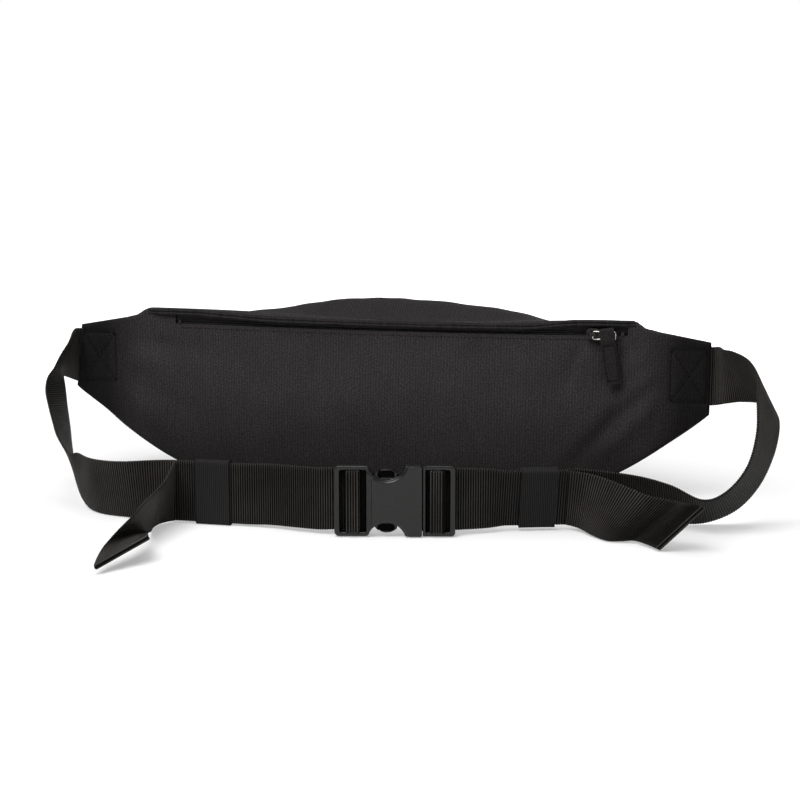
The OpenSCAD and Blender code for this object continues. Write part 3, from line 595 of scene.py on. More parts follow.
def shell_section(x, steps, inset, end_y):
    """A shell's section at x, from the back panel under the bag, up the front to end_y."""
    deep = max(0.5, depth_at(x) - (SHELL_Y - BACK_Y) - inset)
    k = min(max((end_y - SHELL_Y) / deep, 0.0), 0.995)
    last = math.acos(k ** 1.6)
    middle = (low_at(x) + top_at(x)) / 2
    down = middle - low_at(x) - inset
    line = []
    for i in range(steps + 1):
        a = -math.pi / 2 + (last + math.pi / 2) * i / steps
        c = max(math.cos(a), 0.0)
        if a < 0:
            y, z = SHELL_Y + deep * c ** 0.5, middle - down * (-math.sin(a)) ** 0.5
        else:
            y = SHELL_Y + deep * c ** (1 / 1.6)
            z = top_z(x, y, inset)
        line.append(Vector((x, y, z)))
    return line


# Folds of the front cloth, in x and height up the cloth, as on the back
front_folds = [
    ((-150, 84), (-84, 40), 9, 1.5), ((-140, 54), (-70, 22), 8, -1.2),
    ((150, 80), (88, 34), 10, 1.5), ((144, 100), (96, 92), 7, -1.1),
    ((-60, 96), (-30, 40), 14, 1.0), ((52, 100), (26, 46), 13, -1.0),
    ((-20, 30), (44, 22), 11, 0.9), ((100, 60), (60, 20), 9, 1.0),
]


def front_place(p, middle):
    """A place of the front cloth, moved out or in by its folds."""
    away = Vector((0, p.y - SHELL_Y, p.z - middle))
    if away.length < 1e-6:
        return p
    inside = (step_between(0, 10, p.y - SHELL_Y) * step_between(0, 5, p.z - SOLE)
              * (1 - step_between(170, 184, abs(p.x))))
    height = (fold_height(p.x, p.z, front_folds)
              + 0.8 * ripple(p.x, p.y, p.z, 38, 5.3) + 0.35 * ripple(p.x, p.y, p.z, 16, 1.7))
    return p + away.normalized() * height * inside


front_columns = [WING_HALF * i / 90 for i in range(-90, 91)]
front_rows = [[front_place(p, (low_at(x) + top_at(x)) / 2)
               for p in shell_section(x, 64, 0.0, front_seam(x))]
              for x in front_columns]
front_cloth = grid_mesh("front_cloth", front_rows, (0, -20, 60))
thicken(front_cloth, CLOTH_T)
front_cloth.data.materials.append(front_canvas)
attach(front_cloth, "bag")
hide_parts("front_panel")

# ---------- top cloth ----------
# A narrow strip joins the back panel to the main zip, and a lip joins the zip to the
# front. The lip folds up on its front seam; its zip tape and coil ride on that fold,
# but its cloth is baked in place. Two small ends beside it stay shut.


def top_place(x, y):
    """A place on the top cloth, with the slack of the stuffed bag in it."""
    slack = step_between(ZIP_Y + ZIP_REVEAL, ZIP_Y + 22, y)
    sway = (2.0 * ripple(x, y, 0, 42, 2.4) + 0.9 * ripple(x, y, 0, 17, 6.6)) * slack
    sway *= step_between(0, 14, front_seam(x) - y)
    return x, y, top_z(x, y) + sway * (1 - step_between(108, 121, abs(x)))


def flat_place(x, y):
    """A place on the top cloth where it is held taut."""
    return x, y, top_z(x, y)


def top_row(x, near, far, steps, place):
    """Places of the top cloth at x, at even steps from near to far."""
    return [place(x, near + (far - near) * j / steps) for j in range(steps + 1)]


strip_end = MOUTH_END - 2
strip_rows = []
for i in range(-64, 65):
    x = strip_end * i / 64
    far = max(min(ZIP_Y - ZIP_REVEAL, mouth_at(x) - 0.4), SHELL_Y + 0.6)
    strip_rows.append(top_row(x, SHELL_Y + 0.1, far, 12, flat_place))
rear_strip_cloth = grid_mesh("rear_strip_cloth", strip_rows, Vector((0, 0, 1)))
thicken(rear_strip_cloth, CLOTH_T)
rear_strip_cloth.data.materials.append(canvas)
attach(rear_strip_cloth, "bag")
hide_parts("rear_strip")

lip_rows = []
for i in range(-60, 61):
    x = (LIP_HALF - 0.4) * i / 60
    near, far = ZIP_Y + ZIP_REVEAL, front_seam(x) - 0.4
    lip_rows.append(top_row(x, near, far, 40, top_place))
lip_cloth = grid_mesh("lip_cloth", lip_rows, Vector((0, 0, 1)))
thicken(lip_cloth, CLOTH_T)
lip_cloth.data.materials.append(canvas)
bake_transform(lip_cloth)
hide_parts("top_lip")

# the ends stop where the mouth's slanting edge comes within 3 mm of the zip's reveal
end_share = (LIP_Y - ZIP_Y - ZIP_REVEAL - 3) / (LIP_Y - SHELL_Y)
end_reach = LIP_HALF + (MOUTH_END - LIP_HALF) * end_share
for side, word in ((-1, "left"), (1, "right")):
    end_rows = []
    for i in range(13):
        x = side * (LIP_HALF + (end_reach - LIP_HALF) * i / 12)
        near, far = ZIP_Y + ZIP_REVEAL, mouth_at(x) - 0.4
        end_rows.append(top_row(x, near, far, 12, flat_place))
    top_end_cloth = grid_mesh("top_end_cloth_" + word, end_rows, Vector((0, 0, 1)))
    thicken(top_end_cloth, CLOTH_T)
    top_end_cloth.data.materials.append(canvas)
    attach(top_end_cloth, "bag")
    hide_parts("top_end_" + word)

# ---------- welts ----------
# Two rolls of folded canvas hide the pocket's zip. Each is a strip folded on the bias
# and sewn in along its lower side, so it wavers a little along its length.
WELT_R = 1.2
WELT_LEFT, WELT_RIGHT = -166.0, 168.0


def tube_mesh(name, centres, ring):
    """A closed tube through places in mm. ring(i) gives its outline there, as places."""
    mesh = bpy.data.meshes.new(name)
    rings = [ring(i) for i in range(len(centres))]
    sides = len(rings[0])
    flat = [tuple(c * MM for c in p) for r in rings for p in r]
    mesh.from_pydata(flat, [], tube_faces(len(rings), sides))
    along = length_along(np.array([list(c) for c in centres], float))
    uv = mesh.uv_layers.new(name="cloth")
    outline = np.array([list(p) for p in rings[0]], float)
    round_it = length_along(np.vstack([outline, outline[:1]]))
    for face in mesh.polygons:
        for loop in face.loop_indices:
            vertex = mesh.loops[loop].vertex_index
            i, j = divmod(vertex, sides)
            if j == 0 and len(face.vertices) == 4 and any(
                    mesh.loops[k].vertex_index % sides == sides - 1 for k in face.loop_indices):
                j = sides
            uv.data[loop].uv = (along[i], round_it[j])
    return added(name, mesh, 50)


def welt_roll(name, lift, seed, node):
    """One rolled welt over the pocket's zip."""
    count = 240
    centres = []
    for i in range(count + 1):
        x = WELT_LEFT + (WELT_RIGHT - WELT_LEFT) * i / count
        end = min(x - WELT_LEFT, WELT_RIGHT - x)
        crowd = math.exp(-((x - EDGE_DIP_X) / EDGE_DIP_W) ** 2)
        z = POCKET_Z + SLOT_HALF + slot_gape(x) + WELT_R + 0.3 + lift * (1 - 0.2 * crowd)
        z += 0.25 * ripple(x, 0, 0, 21, seed) - slot_sag(x) - 0.3 * crowd
        z = min(z, top_at(x) - 1.4 + lift * 0.5)
        y = BACK_Y - WELT_R - 0.05 + 1.1 * (1 - step_between(0, 12, end))
        y += 0.2 * ripple(x, 9, 0, 15, seed)
        centres.append(Vector((x, y, z)))

    def ring(i):
        size = 1 + 0.12 * ripple(centres[i].x, 0, 3, 9, seed)
        end = min(centres[i].x - WELT_LEFT, WELT_RIGHT - centres[i].x)
        size *= 0.35 + 0.65 * step_between(0, 12, end)
        return [centres[i] + Vector((0, 1.05 * WELT_R * size * math.cos(a),
                                     1.08 * WELT_R * size * math.sin(a)))
                for a in [2 * math.pi * k / 14 for k in range(14)]]

    roll = tube_mesh(name, centres, ring)
    roll.data.materials.append(strip_canvas)
    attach(roll, "bag")
    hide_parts(node)


welt_roll("lower_welt_roll", 0.0, 4.0, "welt_lower")
welt_roll("upper_welt_roll", 2 * WELT_R - 0.3, 9.0, "welt_upper")

# ---------- belt ----------
# Webbing of black polypropylene, 38 mm wide, woven with cross ribs and thick edges.
# Each half is one strap: sewn into a wing, run through a keeper, folded round the bar
# of its buckle half, back through the keeper, and hemmed at its free end.
WEB_W, WEB_T, LAYER_GAP = 38.0, 1.6, 0.3
RIB_PITCH = 1.5
LAYER = (WEB_T + LAYER_GAP) / 2
WEB_LOW = (WING_LOW + WING_TOP) / 2 - WEB_W / 2 + 0.8
WEB_Y = SHELL_Y + LAYER_GAP + WEB_T / 2

webbing, tree, surface = new_material("black_webbing", (0.019, 0.0182, 0.0168), 0.55,
                                      IOR=FUZZY)
uv, split = cloth_lengths(tree)
across = ribs(tree, split.outputs["X"], RIB_PITCH)
twill = ribs(tree, maths(tree, "ADD", split.outputs["X"], split.outputs["Y"]), 1.05)
warp = ribs(tree, split.outputs["Y"], 0.9)
fuzz = cloth_noise(tree, uv, Scale=2.2, Detail=4.0, Roughness=0.7)
narrow = maths(tree, "POWER", across, 3.0)
patches = cloth_noise(tree, uv, Scale=0.035, Detail=2.0)
tone = mixed(tree, narrow, (0.0, 0.0, 0.0), (0.06, 0.0552, 0.0502))
tone = multiplied(tree, tone, mixed(tree, twill, (0.6,) * 3, (1.4,) * 3))
tone = multiplied(tree, tone, mixed(tree, fuzz, (0.3,) * 3, (1.7,) * 3))
tone = multiplied(tree, tone, mixed(tree, patches, (0.3,) * 3, (1.6,) * 3))
tree.links.new(tone, surface.inputs["Base Color"])
bumped(tree, surface, maths(tree, "ADD", twill, warp), 0.00007)


def even_route(stations, step):
    """The belt's stations on one smooth curve, at even steps of its length."""
    s = np.array(stations, float)
    padded = np.vstack([s[:1], s, s[-1:]])
    fine = []
    for i in range(len(s) - 1):
        a, b, c, d = padded[i:i + 4]
        for k in np.linspace(0, 1, 24, endpoint=False):
            fine.append(0.5 * (2 * b + (c - a) * k + (2 * a - 5 * b + 4 * c - d) * k * k
                               + (3 * b - a - 3 * c + d) * k ** 3))
    fine = np.array(fine + [s[-1]])
    way = in_unit(fine[:, 3:])
    middle = fine[:, :3] + way * WEB_W / 2
    length = length_along(middle)
    at = np.arange(0, length[-1], step)
    middle = np.stack([np.interp(at, length, middle[:, k]) for k in range(3)], 1)
    way = np.stack([np.interp(at, length, way[:, k]) for k in range(3)], 1)
    return middle, in_unit(way)


def folded_hem(middle, way, turn_side, hem_l, gap, step):
    """Adds the end's hem: a tight fold, and the webbing going back on itself."""
    ahead = middle[-1] - middle[-4]
    ahead /= np.linalg.norm(ahead)
    normal = np.cross(way[-1], ahead) * turn_side
    normal /= np.linalg.norm(normal)
    radius = (WEB_T + gap) / 2
    bend = [middle[-1] + normal * radius * (1 - math.cos(a)) + ahead * radius * math.sin(a)
            for a in np.linspace(0, math.pi, 9)[1:]]
    count = int(hem_l / step)
    back = []
    for i in range(1, count):
        before, after = middle[-1 - i], middle[-i]
        along = after - before
        along /= np.linalg.norm(along)
        n = np.cross(way[-1 - i], along) * turn_side
        back.append(before + n / np.linalg.norm(n) * 2 * radius)
    ways = [way[-1]] * len(bend) + [way[-1 - i] for i in range(1, count)]
    return np.vstack([middle, bend, back]), np.vstack([way, ways])


def strap_mesh(name, middle, way):
    """Ribbed webbing with thick selvages along a line of middles and ways across it."""
    normal = in_unit(np.cross(way, in_unit(np.gradient(middle, axis=0))))
    length = length_along(middle)
    rib = np.cos(2 * math.pi * length / RIB_PITCH)
    half, thick = WEB_W / 2, WEB_T / 2
    spots = [-0.985, -0.94, -0.86, -0.5, 0, 0.5, 0.86, 0.94, 0.985]
    outline = [(s, 1) for s in spots] + [(1.0, 0.35), (1.0, -0.35)]
    outline += [(s, -1) for s in spots[::-1]] + [(-1.0, -0.35), (-1.0, 0.35)]
    rings = []
    for s, side in outline:
        edge = abs(s) > 0.9
        rounded = 0.78 if abs(s) > 0.98 and abs(side) == 1 else 1
        swell = thick * (0.96 if edge else 0.9) * side * rounded
        relief = 0.2 * rib * (1 if side > 0 else -1) * (0.6 if edge else 1)
        wide = s * half + (0.12 * rib * np.sign(s) if edge else 0)
        rings.append(middle + way * np.atleast_1d(wide)[:, None]
                     + normal * (swell + relief)[:, None])
    grid = np.stack(rings, 1)
    sides = grid.shape[1]
    mesh = bpy.data.meshes.new(name)
    mesh.from_pydata((grid.reshape(-1, 3) * MM).tolist(), [], tube_faces(len(middle), sides))
    uv = mesh.uv_layers.new(name="cloth")
    spots_v = np.array([s * half for s, _ in outline])
    loops = np.zeros(len(mesh.loops), int)
    mesh.loops.foreach_get("vertex_index", loops)
    uv.data.foreach_set("uv", np.stack([length[loops // sides],
                                        spots_v[loops % sides]], 1).ravel())
    piece = added(name, mesh, 60)
    piece.data.materials.append(webbing)
    return piece


BUCKLE_AT = Vector((36.0, BACK_Y - 117, 22.1))
BUCKLE_TURN = math.radians(12)
BUCKLE_W, BUCKLE_T = 43.4, 11.0
FRAME_FRONT, FRAME_T, BAR_W = -4.0, 5.4, 5.0
FEMALE_BAR, MALE_BAR = -25.4, 25.6


def from_buckle(x, y):
    """A place of the buckle's own frame, in the bag's frame."""
    c, s = math.cos(BUCKLE_TURN), math.sin(BUCKLE_TURN)
    return BUCKLE_AT.x + x * c - y * s, BUCKLE_AT.y + x * s + y * c


def wrap_round(side, bar):
    """Stations of the webbing round a bar: in behind the end bar, and back out."""
    front = FRAME_FRONT - LAYER_GAP - WEB_T / 2
    near = FRAME_FRONT + FRAME_T + LAYER_GAP + 0.3 + WEB_T / 2
    far = near + WEB_T + 0.4
    q = BAR_W / 2 + WEB_T / 2 + LAYER_GAP
    path = [(-q - 9, near), (-q - 5, near), (-q - 1, near - 1.8), (-q, 0),
            (-q, FRAME_FRONT + 0.6), (-q + 0.4, front + 0.3), (-q + 2, front), (0, front),
            (q - 2, front), (q - 0.4, front + 0.3), (q, FRAME_FRONT + 0.6), (q, 0),
            (q - 0.4, far - 1.8), (q - 3, far), (-q - 5, far), (-q - 9, far)]
    return [(*from_buckle(bar + side * x, y), BUCKLE_AT.z - WEB_W / 2, 0, 0, 38)
            for x, y in path]


KEEP_LEFT = Vector((-80.0, BACK_Y - 114, 1.3))
left_main = [
    (-189, WEB_Y, WEB_LOW, 0, 0, 38), (-214, WEB_Y, WEB_LOW, 0, 0, 38),
    (-220, WEB_Y - 0.6, WEB_LOW + 0.5, 1, -3, 38), (-226, -40, WEB_LOW + 3, 11, -22, 29),
    (-228, -45, WEB_LOW + 5, 12, -30, 18), (-226, -50, WEB_LOW + 5, 10, -35, 12),
    (-223, -55, WEB_LOW + 2, 5, -36, 9), (-220, -60, WEB_LOW - 4, 3, -37, 7),
    (-216, -67, WEB_LOW - 13, 4, -37, 7), (-210, -77, WEB_LOW - 24, 5, -36, 9),
    (-202, -92, 30, 6, -34, 15), (-192, -109, 14, 9, -29, 23), (-179, -126, 3, 4, -15, 35),
    (-162, -143, 0.4, 1, -9, 36), (-138, -150.5, 0.4, -1, -7, 37),
    (-113, KEEP_LEFT.y + LAYER + 0.1, 1, 0, 0, 38), (-103, KEEP_LEFT.y + LAYER, 1.3, 0, 0, 38),
    (-80, KEEP_LEFT.y + LAYER, 1.3, 0, 0, 38), (-57, KEEP_LEFT.y + LAYER, 1.3, 0, 0, 38)]
left_tail = [
    (-57, KEEP_LEFT.y - LAYER, 1.3, 0, 0, 38), (-80, KEEP_LEFT.y - LAYER, 1.3, 0, 0, 38),
    (-103, KEEP_LEFT.y - LAYER, 1.3, 0, 0, 38),
    (-106, KEEP_LEFT.y - LAYER - 0.9, 1.2, 2, -1, 38), (-110, -158.5, 0.8, 7, -5, 37),
    (-113, -164, 0.6, 12, -15, 33), (-113, -174, 0.8, 12, -21, 29),
    (-109, -188, 2, 8, -27, 25), (-103, -206, 6, 2, -34, 16), (-95, -226, 11, -12, -36, 1),
    (-86, -248, 16, -20, -30, -11)]


def left_lead(side):
    """Stations between the left keeper and the buckle."""
    y = KEEP_LEFT.y - side * LAYER
    return [(-56.6, y, 1.3, 0, 0, 38), (-42.6, y - 1, 2, 0, 0, 38),
            (-24.6, y - 5, 2.4, 0, 0, 38), (-10.6, y - 7.4, 2.6, 0, 0, 38)]


KEEP_RIGHT = Vector((117.0, BACK_Y - 83.5, 3.6))
KEEP_RIGHT_TURN, KEEP_RIGHT_LEAN = math.radians(17), math.radians(18)
keep_right_up = Vector((math.sin(KEEP_RIGHT_TURN) * math.sin(KEEP_RIGHT_LEAN),
                        -math.cos(KEEP_RIGHT_TURN) * math.sin(KEEP_RIGHT_LEAN),
                        math.cos(KEEP_RIGHT_LEAN))) * 38
keep_right_out = Vector((math.sin(KEEP_RIGHT_TURN) * math.cos(KEEP_RIGHT_LEAN),
                         -math.cos(KEEP_RIGHT_TURN) * math.cos(KEEP_RIGHT_LEAN),
                         -math.sin(KEEP_RIGHT_LEAN)))


def beside_right(along, out):
    """A station beside the right keeper's middle."""
    way = Vector((math.cos(KEEP_RIGHT_TURN), math.sin(KEEP_RIGHT_TURN), 0))
    return (*(KEEP_RIGHT + along * way + out * keep_right_out), *keep_right_up)


right_main = [
    (189, WEB_Y, WEB_LOW, 0, 0, 38), (214, WEB_Y, WEB_LOW, 0, 0, 38),
    (220, WEB_Y - 0.6, WEB_LOW + 0.5, 0, -1, 38), (228, -40.5, WEB_LOW + 2.5, -4, -11, 36),
    (237, -45, WEB_LOW + 4.5, -7, -15, 34), (250, -53, WEB_LOW + 5, -10, -20, 30),
    (258, -62, WEB_LOW, -12, -23, 27), (260, -70, WEB_LOW - 8, -14, -26, 25),
    (257, -78, 43, -10, -30, 21), (249, -83, 25, -7, -33, 19), (236, -85, 10, -6, -33, 18),
    (218, -87, 1.6, -2, -31, 21), (199, -93, 1, -2, -24, 30), (181, -101, 1.2, -1, -17, 34),
    (162, -109, 3, 1, -14, 35), beside_right(25, -LAYER - 0.2), beside_right(17, -LAYER),
    beside_right(0, -LAYER), beside_right(-17, -LAYER)]
right_tail = [
    beside_right(-17, LAYER), beside_right(0, LAYER), beside_right(15, LAYER),
    beside_right(19, LAYER + 0.6), (144, -124, 2.4, 7, -9, 36), (153, -134, 1, 15, -6, 34),
    (162, -142, 0.4, 22, -4, 30), (170, -143, 0.8, 25, -4, 28), (178, -143, 1.6, 27, -5, 26),
    (186, -148, 1.2, 27, -5, 26), (194, -157, 0.8, 25, -6, 27)]


def right_lead(side):
    """Stations between the right keeper and the buckle."""
    return [beside_right(-17.4, side * LAYER), beside_right(-21, side * LAYER + 0.3),
            (88 + side * 0.5, -137.8 - side * LAYER, 3.2, 1, -5, 37)]


STRAP_STEP, HEM_L, HEM_GAP = RIB_PITCH / 4, 17, 0.2
left_loop = left_lead(1) + wrap_round(1, FEMALE_BAR) + left_lead(-1)[::-1]
middle, way = even_route(left_main + left_loop[::-1][1:-1] + left_tail, STRAP_STEP)
middle, way = folded_hem(middle, way, -1, HEM_L, HEM_GAP, STRAP_STEP)
left_strap = strap_mesh("left_strap", middle, way)
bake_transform(left_strap)
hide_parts("belt_left", "belt_left_loop", "belt_left_tail", "belt_left_hem")

right_loop = right_lead(1) + wrap_round(-1, MALE_BAR) + right_lead(-1)[::-1]
middle, way = even_route(right_main + right_loop[::-1][1:-1] + right_tail, STRAP_STEP)
middle, way = folded_hem(middle, way, -1, HEM_L, HEM_GAP, STRAP_STEP)
right_strap = strap_mesh("right_strap", middle, way)
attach(right_strap, "bag")
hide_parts("belt_right", "belt_right_loop", "belt_right_tail", "belt_right_hem")

# ---------- keepers ----------
# Loops of charcoal elastic that hold both layers of a strap together. The elastic is
# finely ribbed along its own length, and its ends are joined behind the strap.
KEEPER_W, KEEPER_T, KEEPER_PLAY = 22.0, 0.9, 0.3

elastic, tree, surface = new_material("charcoal_elastic", (0.03, 0.0285, 0.029), 0.75,
                                      IOR=FUZZY)
uv, split = cloth_lengths(tree)
cords = ribs(tree, split.outputs["X"], 1.25)
picks = ribs(tree, split.outputs["Y"], 0.6)
fuzz = cloth_noise(tree, uv, Scale=2.0, Detail=4.0)
tone = mixed(tree, cords, (0.007, 0.0066, 0.0068), (0.029, 0.0274, 0.028))
tone = multiplied(tree, tone, mixed(tree, picks, (0.85,) * 3, (1.15,) * 3))
tone = multiplied(tree, tone, mixed(tree, fuzz, (0.75,) * 3, (1.25,) * 3))
tree.links.new(tone, surface.inputs["Base Color"])
bumped(tree, surface, maths(tree, "ADD", cords, picks), 0.00008)


def keeper_loop(name, place, node):
    """A loop of elastic in the keeper's own frame, put in place by a matrix."""
    deep = (2 * WEB_T + LAYER_GAP + 2 * KEEPER_PLAY) / 2 + KEEPER_T
    low, high = -KEEPER_PLAY - KEEPER_T, WEB_W + KEEPER_PLAY + KEEPER_T
    line = []
    corner = 1.5
    for cy, cz, a0 in ((deep, high, 0), (-deep, high, 90), (-deep, low, 180), (deep, low, 270)):
        oy, oz = cy - math.copysign(corner, cy), cz - (corner if cz > 10 else -corner)
        for k in range(6):
            a = math.radians(a0 + 90 * k / 5)
            line.append((oy + corner * math.cos(a), oz + corner * math.sin(a)))
    path = []
    for k, (y0, z0) in enumerate(line):
        y1, z1 = line[(k + 1) % len(line)]
        span = math.hypot(y1 - y0, z1 - z0)
        parts = max(1, int(span / 1.6))
        path += [(y0 + (y1 - y0) * i / parts, z0 + (z1 - z0) * i / parts) for i in range(parts)]
    path.append(path[0])
    widths = 26
    rows = []
    for i in range(widths + 1):
        x = KEEPER_W * (i / widths - 0.5)
        roll = 0.18 * math.exp(-((KEEPER_W / 2 - abs(x)) / 1.2) ** 2)
        rows.append([])
        for y, z in path:
            give = 0.12 + 0.12 * ripple(x, y * 3, z, 12, 2.2 + place.translation.x)
            rows[-1].append(place @ Vector((x, y + math.copysign(give + roll, y), z)))
    loop = grid_mesh(name, rows, (*(place @ Vector((0, 0, 19))),))
    merge_doubles(loop)
    thicken(loop, KEEPER_T)
    loop.data.materials.append(elastic)
    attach(loop, node)
    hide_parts(node)


keeper_loop("keeper_left_loop", Matrix.Translation(KEEP_LEFT), "keeper_left")
at_keep_right = (Matrix.Translation(KEEP_RIGHT) @ Matrix.Rotation(KEEP_RIGHT_TURN, 4, "Z")
                 @ Matrix.Rotation(KEEP_RIGHT_LEAN, 4, "X"))
keeper_loop("keeper_right_loop", at_keep_right, "keeper_right")

# ---------- buckle ----------
# A side-release buckle moulded in dark grey nylon: a hollow half with two finger
# notches and a ladder, and a plug half with two springy prongs and a ladder. Thin
# ledges narrow the ladders' windows from behind. The faces in the windows and in the
# prongs' pads carry painted shade, black and dull, for the shadow that falls there.
plastic, tree, surface = new_material("grey_nylon", (0.02, 0.0192, 0.0183), 0.3,
                                      Specular_IOR_Level=0.36)
grain = in_solid(tree, "ShaderNodeTexNoise", Scale=900.0, Detail=3.0)
clouds = in_solid(tree, "ShaderNodeTexNoise", Scale=45.0, Detail=3.0)
tone = mixed(tree, clouds.outputs["Fac"], (0.0075, 0.0072, 0.0069), (0.0125, 0.012, 0.0114))
# painted shade: the marked inner faces turn black and lose almost all their shine
inner = add_node(tree, "ShaderNodeAttribute", attribute_name="hollow")
outer = maths(tree, "SUBTRACT", 1.0, inner.outputs["Fac"])
tree.links.new(multiplied(tree, tone, outer), surface.inputs["Base Color"])
tree.links.new(ranged(tree, inner.outputs["Fac"], 0.36, 0.03),
               surface.inputs["Specular IOR Level"])
tree.links.new(ranged(tree, clouds.outputs["Fac"], 0.22, 0.34), surface.inputs["Roughness"])
bumped(tree, surface, grain.outputs["Fac"], 0.00002, 0.6)

in_buckle = Matrix.Translation(BUCKLE_AT) @ Matrix.Rotation(BUCKLE_TURN, 4, "Z")


def block(low, high, rounding=0.0, axis=1):
    """A box from corner to corner in mm, with its edges along one axis rounded."""
    bpy.ops.mesh.primitive_cube_add(size=1)
    made = bpy.context.active_object
    size = Vector(high) - Vector(low)
    made.data.transform(Matrix.Translation((Vector(low) + Vector(high)) / 2)
                        @ Matrix.Diagonal((*size, 1)))
    if rounding:
        shape = bmesh.new()
        shape.from_mesh(made.data)
        upright = [e for e in shape.edges
                   if abs((e.verts[0].co - e.verts[1].co).normalized()[axis]) > 0.9]
        bmesh.ops.bevel(shape, geom=upright, offset=rounding, segments=6, profile=0.5,
                        affect="EDGES", clamp_overlap=True)
        shape.to_mesh(made.data)
        shape.free()
    return made


def drum(centre, radius, length, sides=64):
    """A cylinder in mm, which stands along Y."""
    bpy.ops.mesh.primitive_cylinder_add(vertices=sides, radius=radius, depth=length)
    made = bpy.context.active_object
    made.data.transform(Matrix.Translation(centre) @ Matrix.Rotation(math.pi / 2, 4, "X"))
    return made


def cut(body, *tools):
    """Takes tools away from a body."""
    for tool in tools:
        finish_modifier(body, "BOOLEAN", operation="DIFFERENCE", object=tool, solver="EXACT")
        bpy.data.objects.remove(tool)


def moulded(name, shapes, voxel, soften, target, keep=1.0):
    """Joins shapes into one moulded piece with soft edges, and puts it in place."""
    alone(shapes[0])
    for shape in shapes[1:]:
        shape.select_set(True)
    if len(shapes) > 1:
        bpy.ops.object.join()
    piece = bpy.context.active_object
    piece.name = name
    piece.data.name = name
    finish_modifier(piece, "REMESH", mode="VOXEL", voxel_size=voxel)
    finish_modifier(piece, "SMOOTH", factor=0.5, iterations=soften)
    if keep < 1:
        finish_modifier(piece, "DECIMATE", ratio=keep)
    piece.data.transform(Matrix.Scale(MM, 4) @ target)
    alone(piece)
    bpy.ops.object.shade_smooth()
    return piece


def hollow(piece, *boxes):
    """Marks the inner faces of a moulded piece, inside boxes given in mm, for painted shade."""
    back = (Matrix.Scale(MM, 4) @ in_buckle).inverted()
    mark = piece.data.attributes.new("hollow", "FLOAT", "POINT")
    for vertex in piece.data.vertices:
        place = back @ vertex.co
        for low, high in boxes:
            if all(a <= c <= b for a, c, b in zip(low, place, high)):
                mark.data[vertex.index].value = 1.0


HALF_W, RAIL = BUCKLE_W / 2, 2.6
LEDGE_T = 1.3
NOTCH_X, NOTCH_R, NOTCH_DEPTH = -5.0, 12.0, 8.4
ARM_Z, ARM_T = 12.2, 3.0
notch_z = HALF_W - NOTCH_DEPTH + NOTCH_R
frame_back = FRAME_FRONT + FRAME_T

ladder = block((-36.5, FRAME_FRONT, -HALF_W), (-15, frame_back, HALF_W), 3.0)
cut(ladder,
    block((-33.3, -9, -HALF_W + RAIL), (FEMALE_BAR - BAR_W / 2, 9, HALF_W - RAIL), 1.2),
    block((FEMALE_BAR + BAR_W / 2, -9, -HALF_W + RAIL), (-17, 9, HALF_W - RAIL), 1.2))
ledge = block((-21.7, frame_back - LEDGE_T, -HALF_W + 1), (-16, frame_back, HALF_W - 1), 0.3)
sill = block((-34, frame_back - LEDGE_T, -HALF_W + 1), (-16, frame_back, -HALF_W + RAIL + 1.1))
housing = block((-17, -BUCKLE_T / 2, -HALF_W), (16.5, BUCKLE_T / 2, HALF_W), 1.2)
cut(housing, block((-14, -3.3, -18.4), (20, 3.3, 18.4)))
for side in (-1, 1):
    cut(housing, drum((NOTCH_X, 0, side * notch_z), NOTCH_R, 30))
    for face in (-1, 1):
        cut(housing, drum((NOTCH_X, face * (BUCKLE_T / 2 + 1.2), side * (notch_z + 0.2)),
                          NOTCH_R + 1.7, 4.0))
for face in (-1, 1):
    slope = block((-24, face * 6.4 - 1.8, -30), (-13.5, face * 6.4 + 1.8, 30))
    slope.data.transform(Matrix.Translation((-14, face * 6.0, 0))
                         @ Matrix.Rotation(math.radians(-face * 26), 4, "Z")
                         @ Matrix.Translation((14, -face * 6.0, 0)))
    cut(housing, slope)
female = moulded("buckle_socket", [housing, ladder, ledge, sill], 0.34, 12, in_buckle, 0.5)
female.data.materials.append(plastic)
hollow(female, ((-33.1, FRAME_FRONT + 1.4, -HALF_W + RAIL), (-17.2, 9, HALF_W - RAIL)))
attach(female, "buckle_female")
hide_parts("buckle_female")

plug_ladder = block((16.8, FRAME_FRONT, -HALF_W), (36.5, frame_back, HALF_W), 2.4)
cut(plug_ladder,
    block((18, -9, -HALF_W + RAIL), (MALE_BAR - BAR_W / 2, 9, HALF_W - RAIL), 1.0),
    block((MALE_BAR + BAR_W / 2, -9, -HALF_W + RAIL), (33.3, 9, HALF_W - RAIL), 1.0))
plug_ledge = block((17.4, frame_back - LEDGE_T, -HALF_W + 1), (21.7, frame_back, HALF_W - 1), 0.3)
plug_sill = block((17.4, frame_back - LEDGE_T, -HALF_W + 1), (34, frame_back, -HALF_W + RAIL + 1.1))
collar = block((16.8, -4.7, -HALF_W + 0.2), (18.6, 4.7, HALF_W - 0.2), 0.5)
root = block((12.5, -3.0, -18.1), (18.0, 3.0, 18.1), 0.6)
tongue = block((-10, -1.4, -3.4), (14, 1.4, 3.4), 1.2)
lugs = [block((10.9, -3.0, side * ARM_Z - ARM_T / 2), (14, 3.0, side * ARM_Z + ARM_T / 2))
        for side in (-1, 1)]
male = moulded("buckle_plug", [plug_ladder, plug_ledge, plug_sill, collar, root, tongue, *lugs],
               0.34, 11, in_buckle, 0.5)
male.data.materials.append(plastic)
hollow(male, ((18.4, FRAME_FRONT + 1.4, -HALF_W + RAIL), (33.1, 9, HALF_W - RAIL)))
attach(male, "bag")
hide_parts("buckle_male")

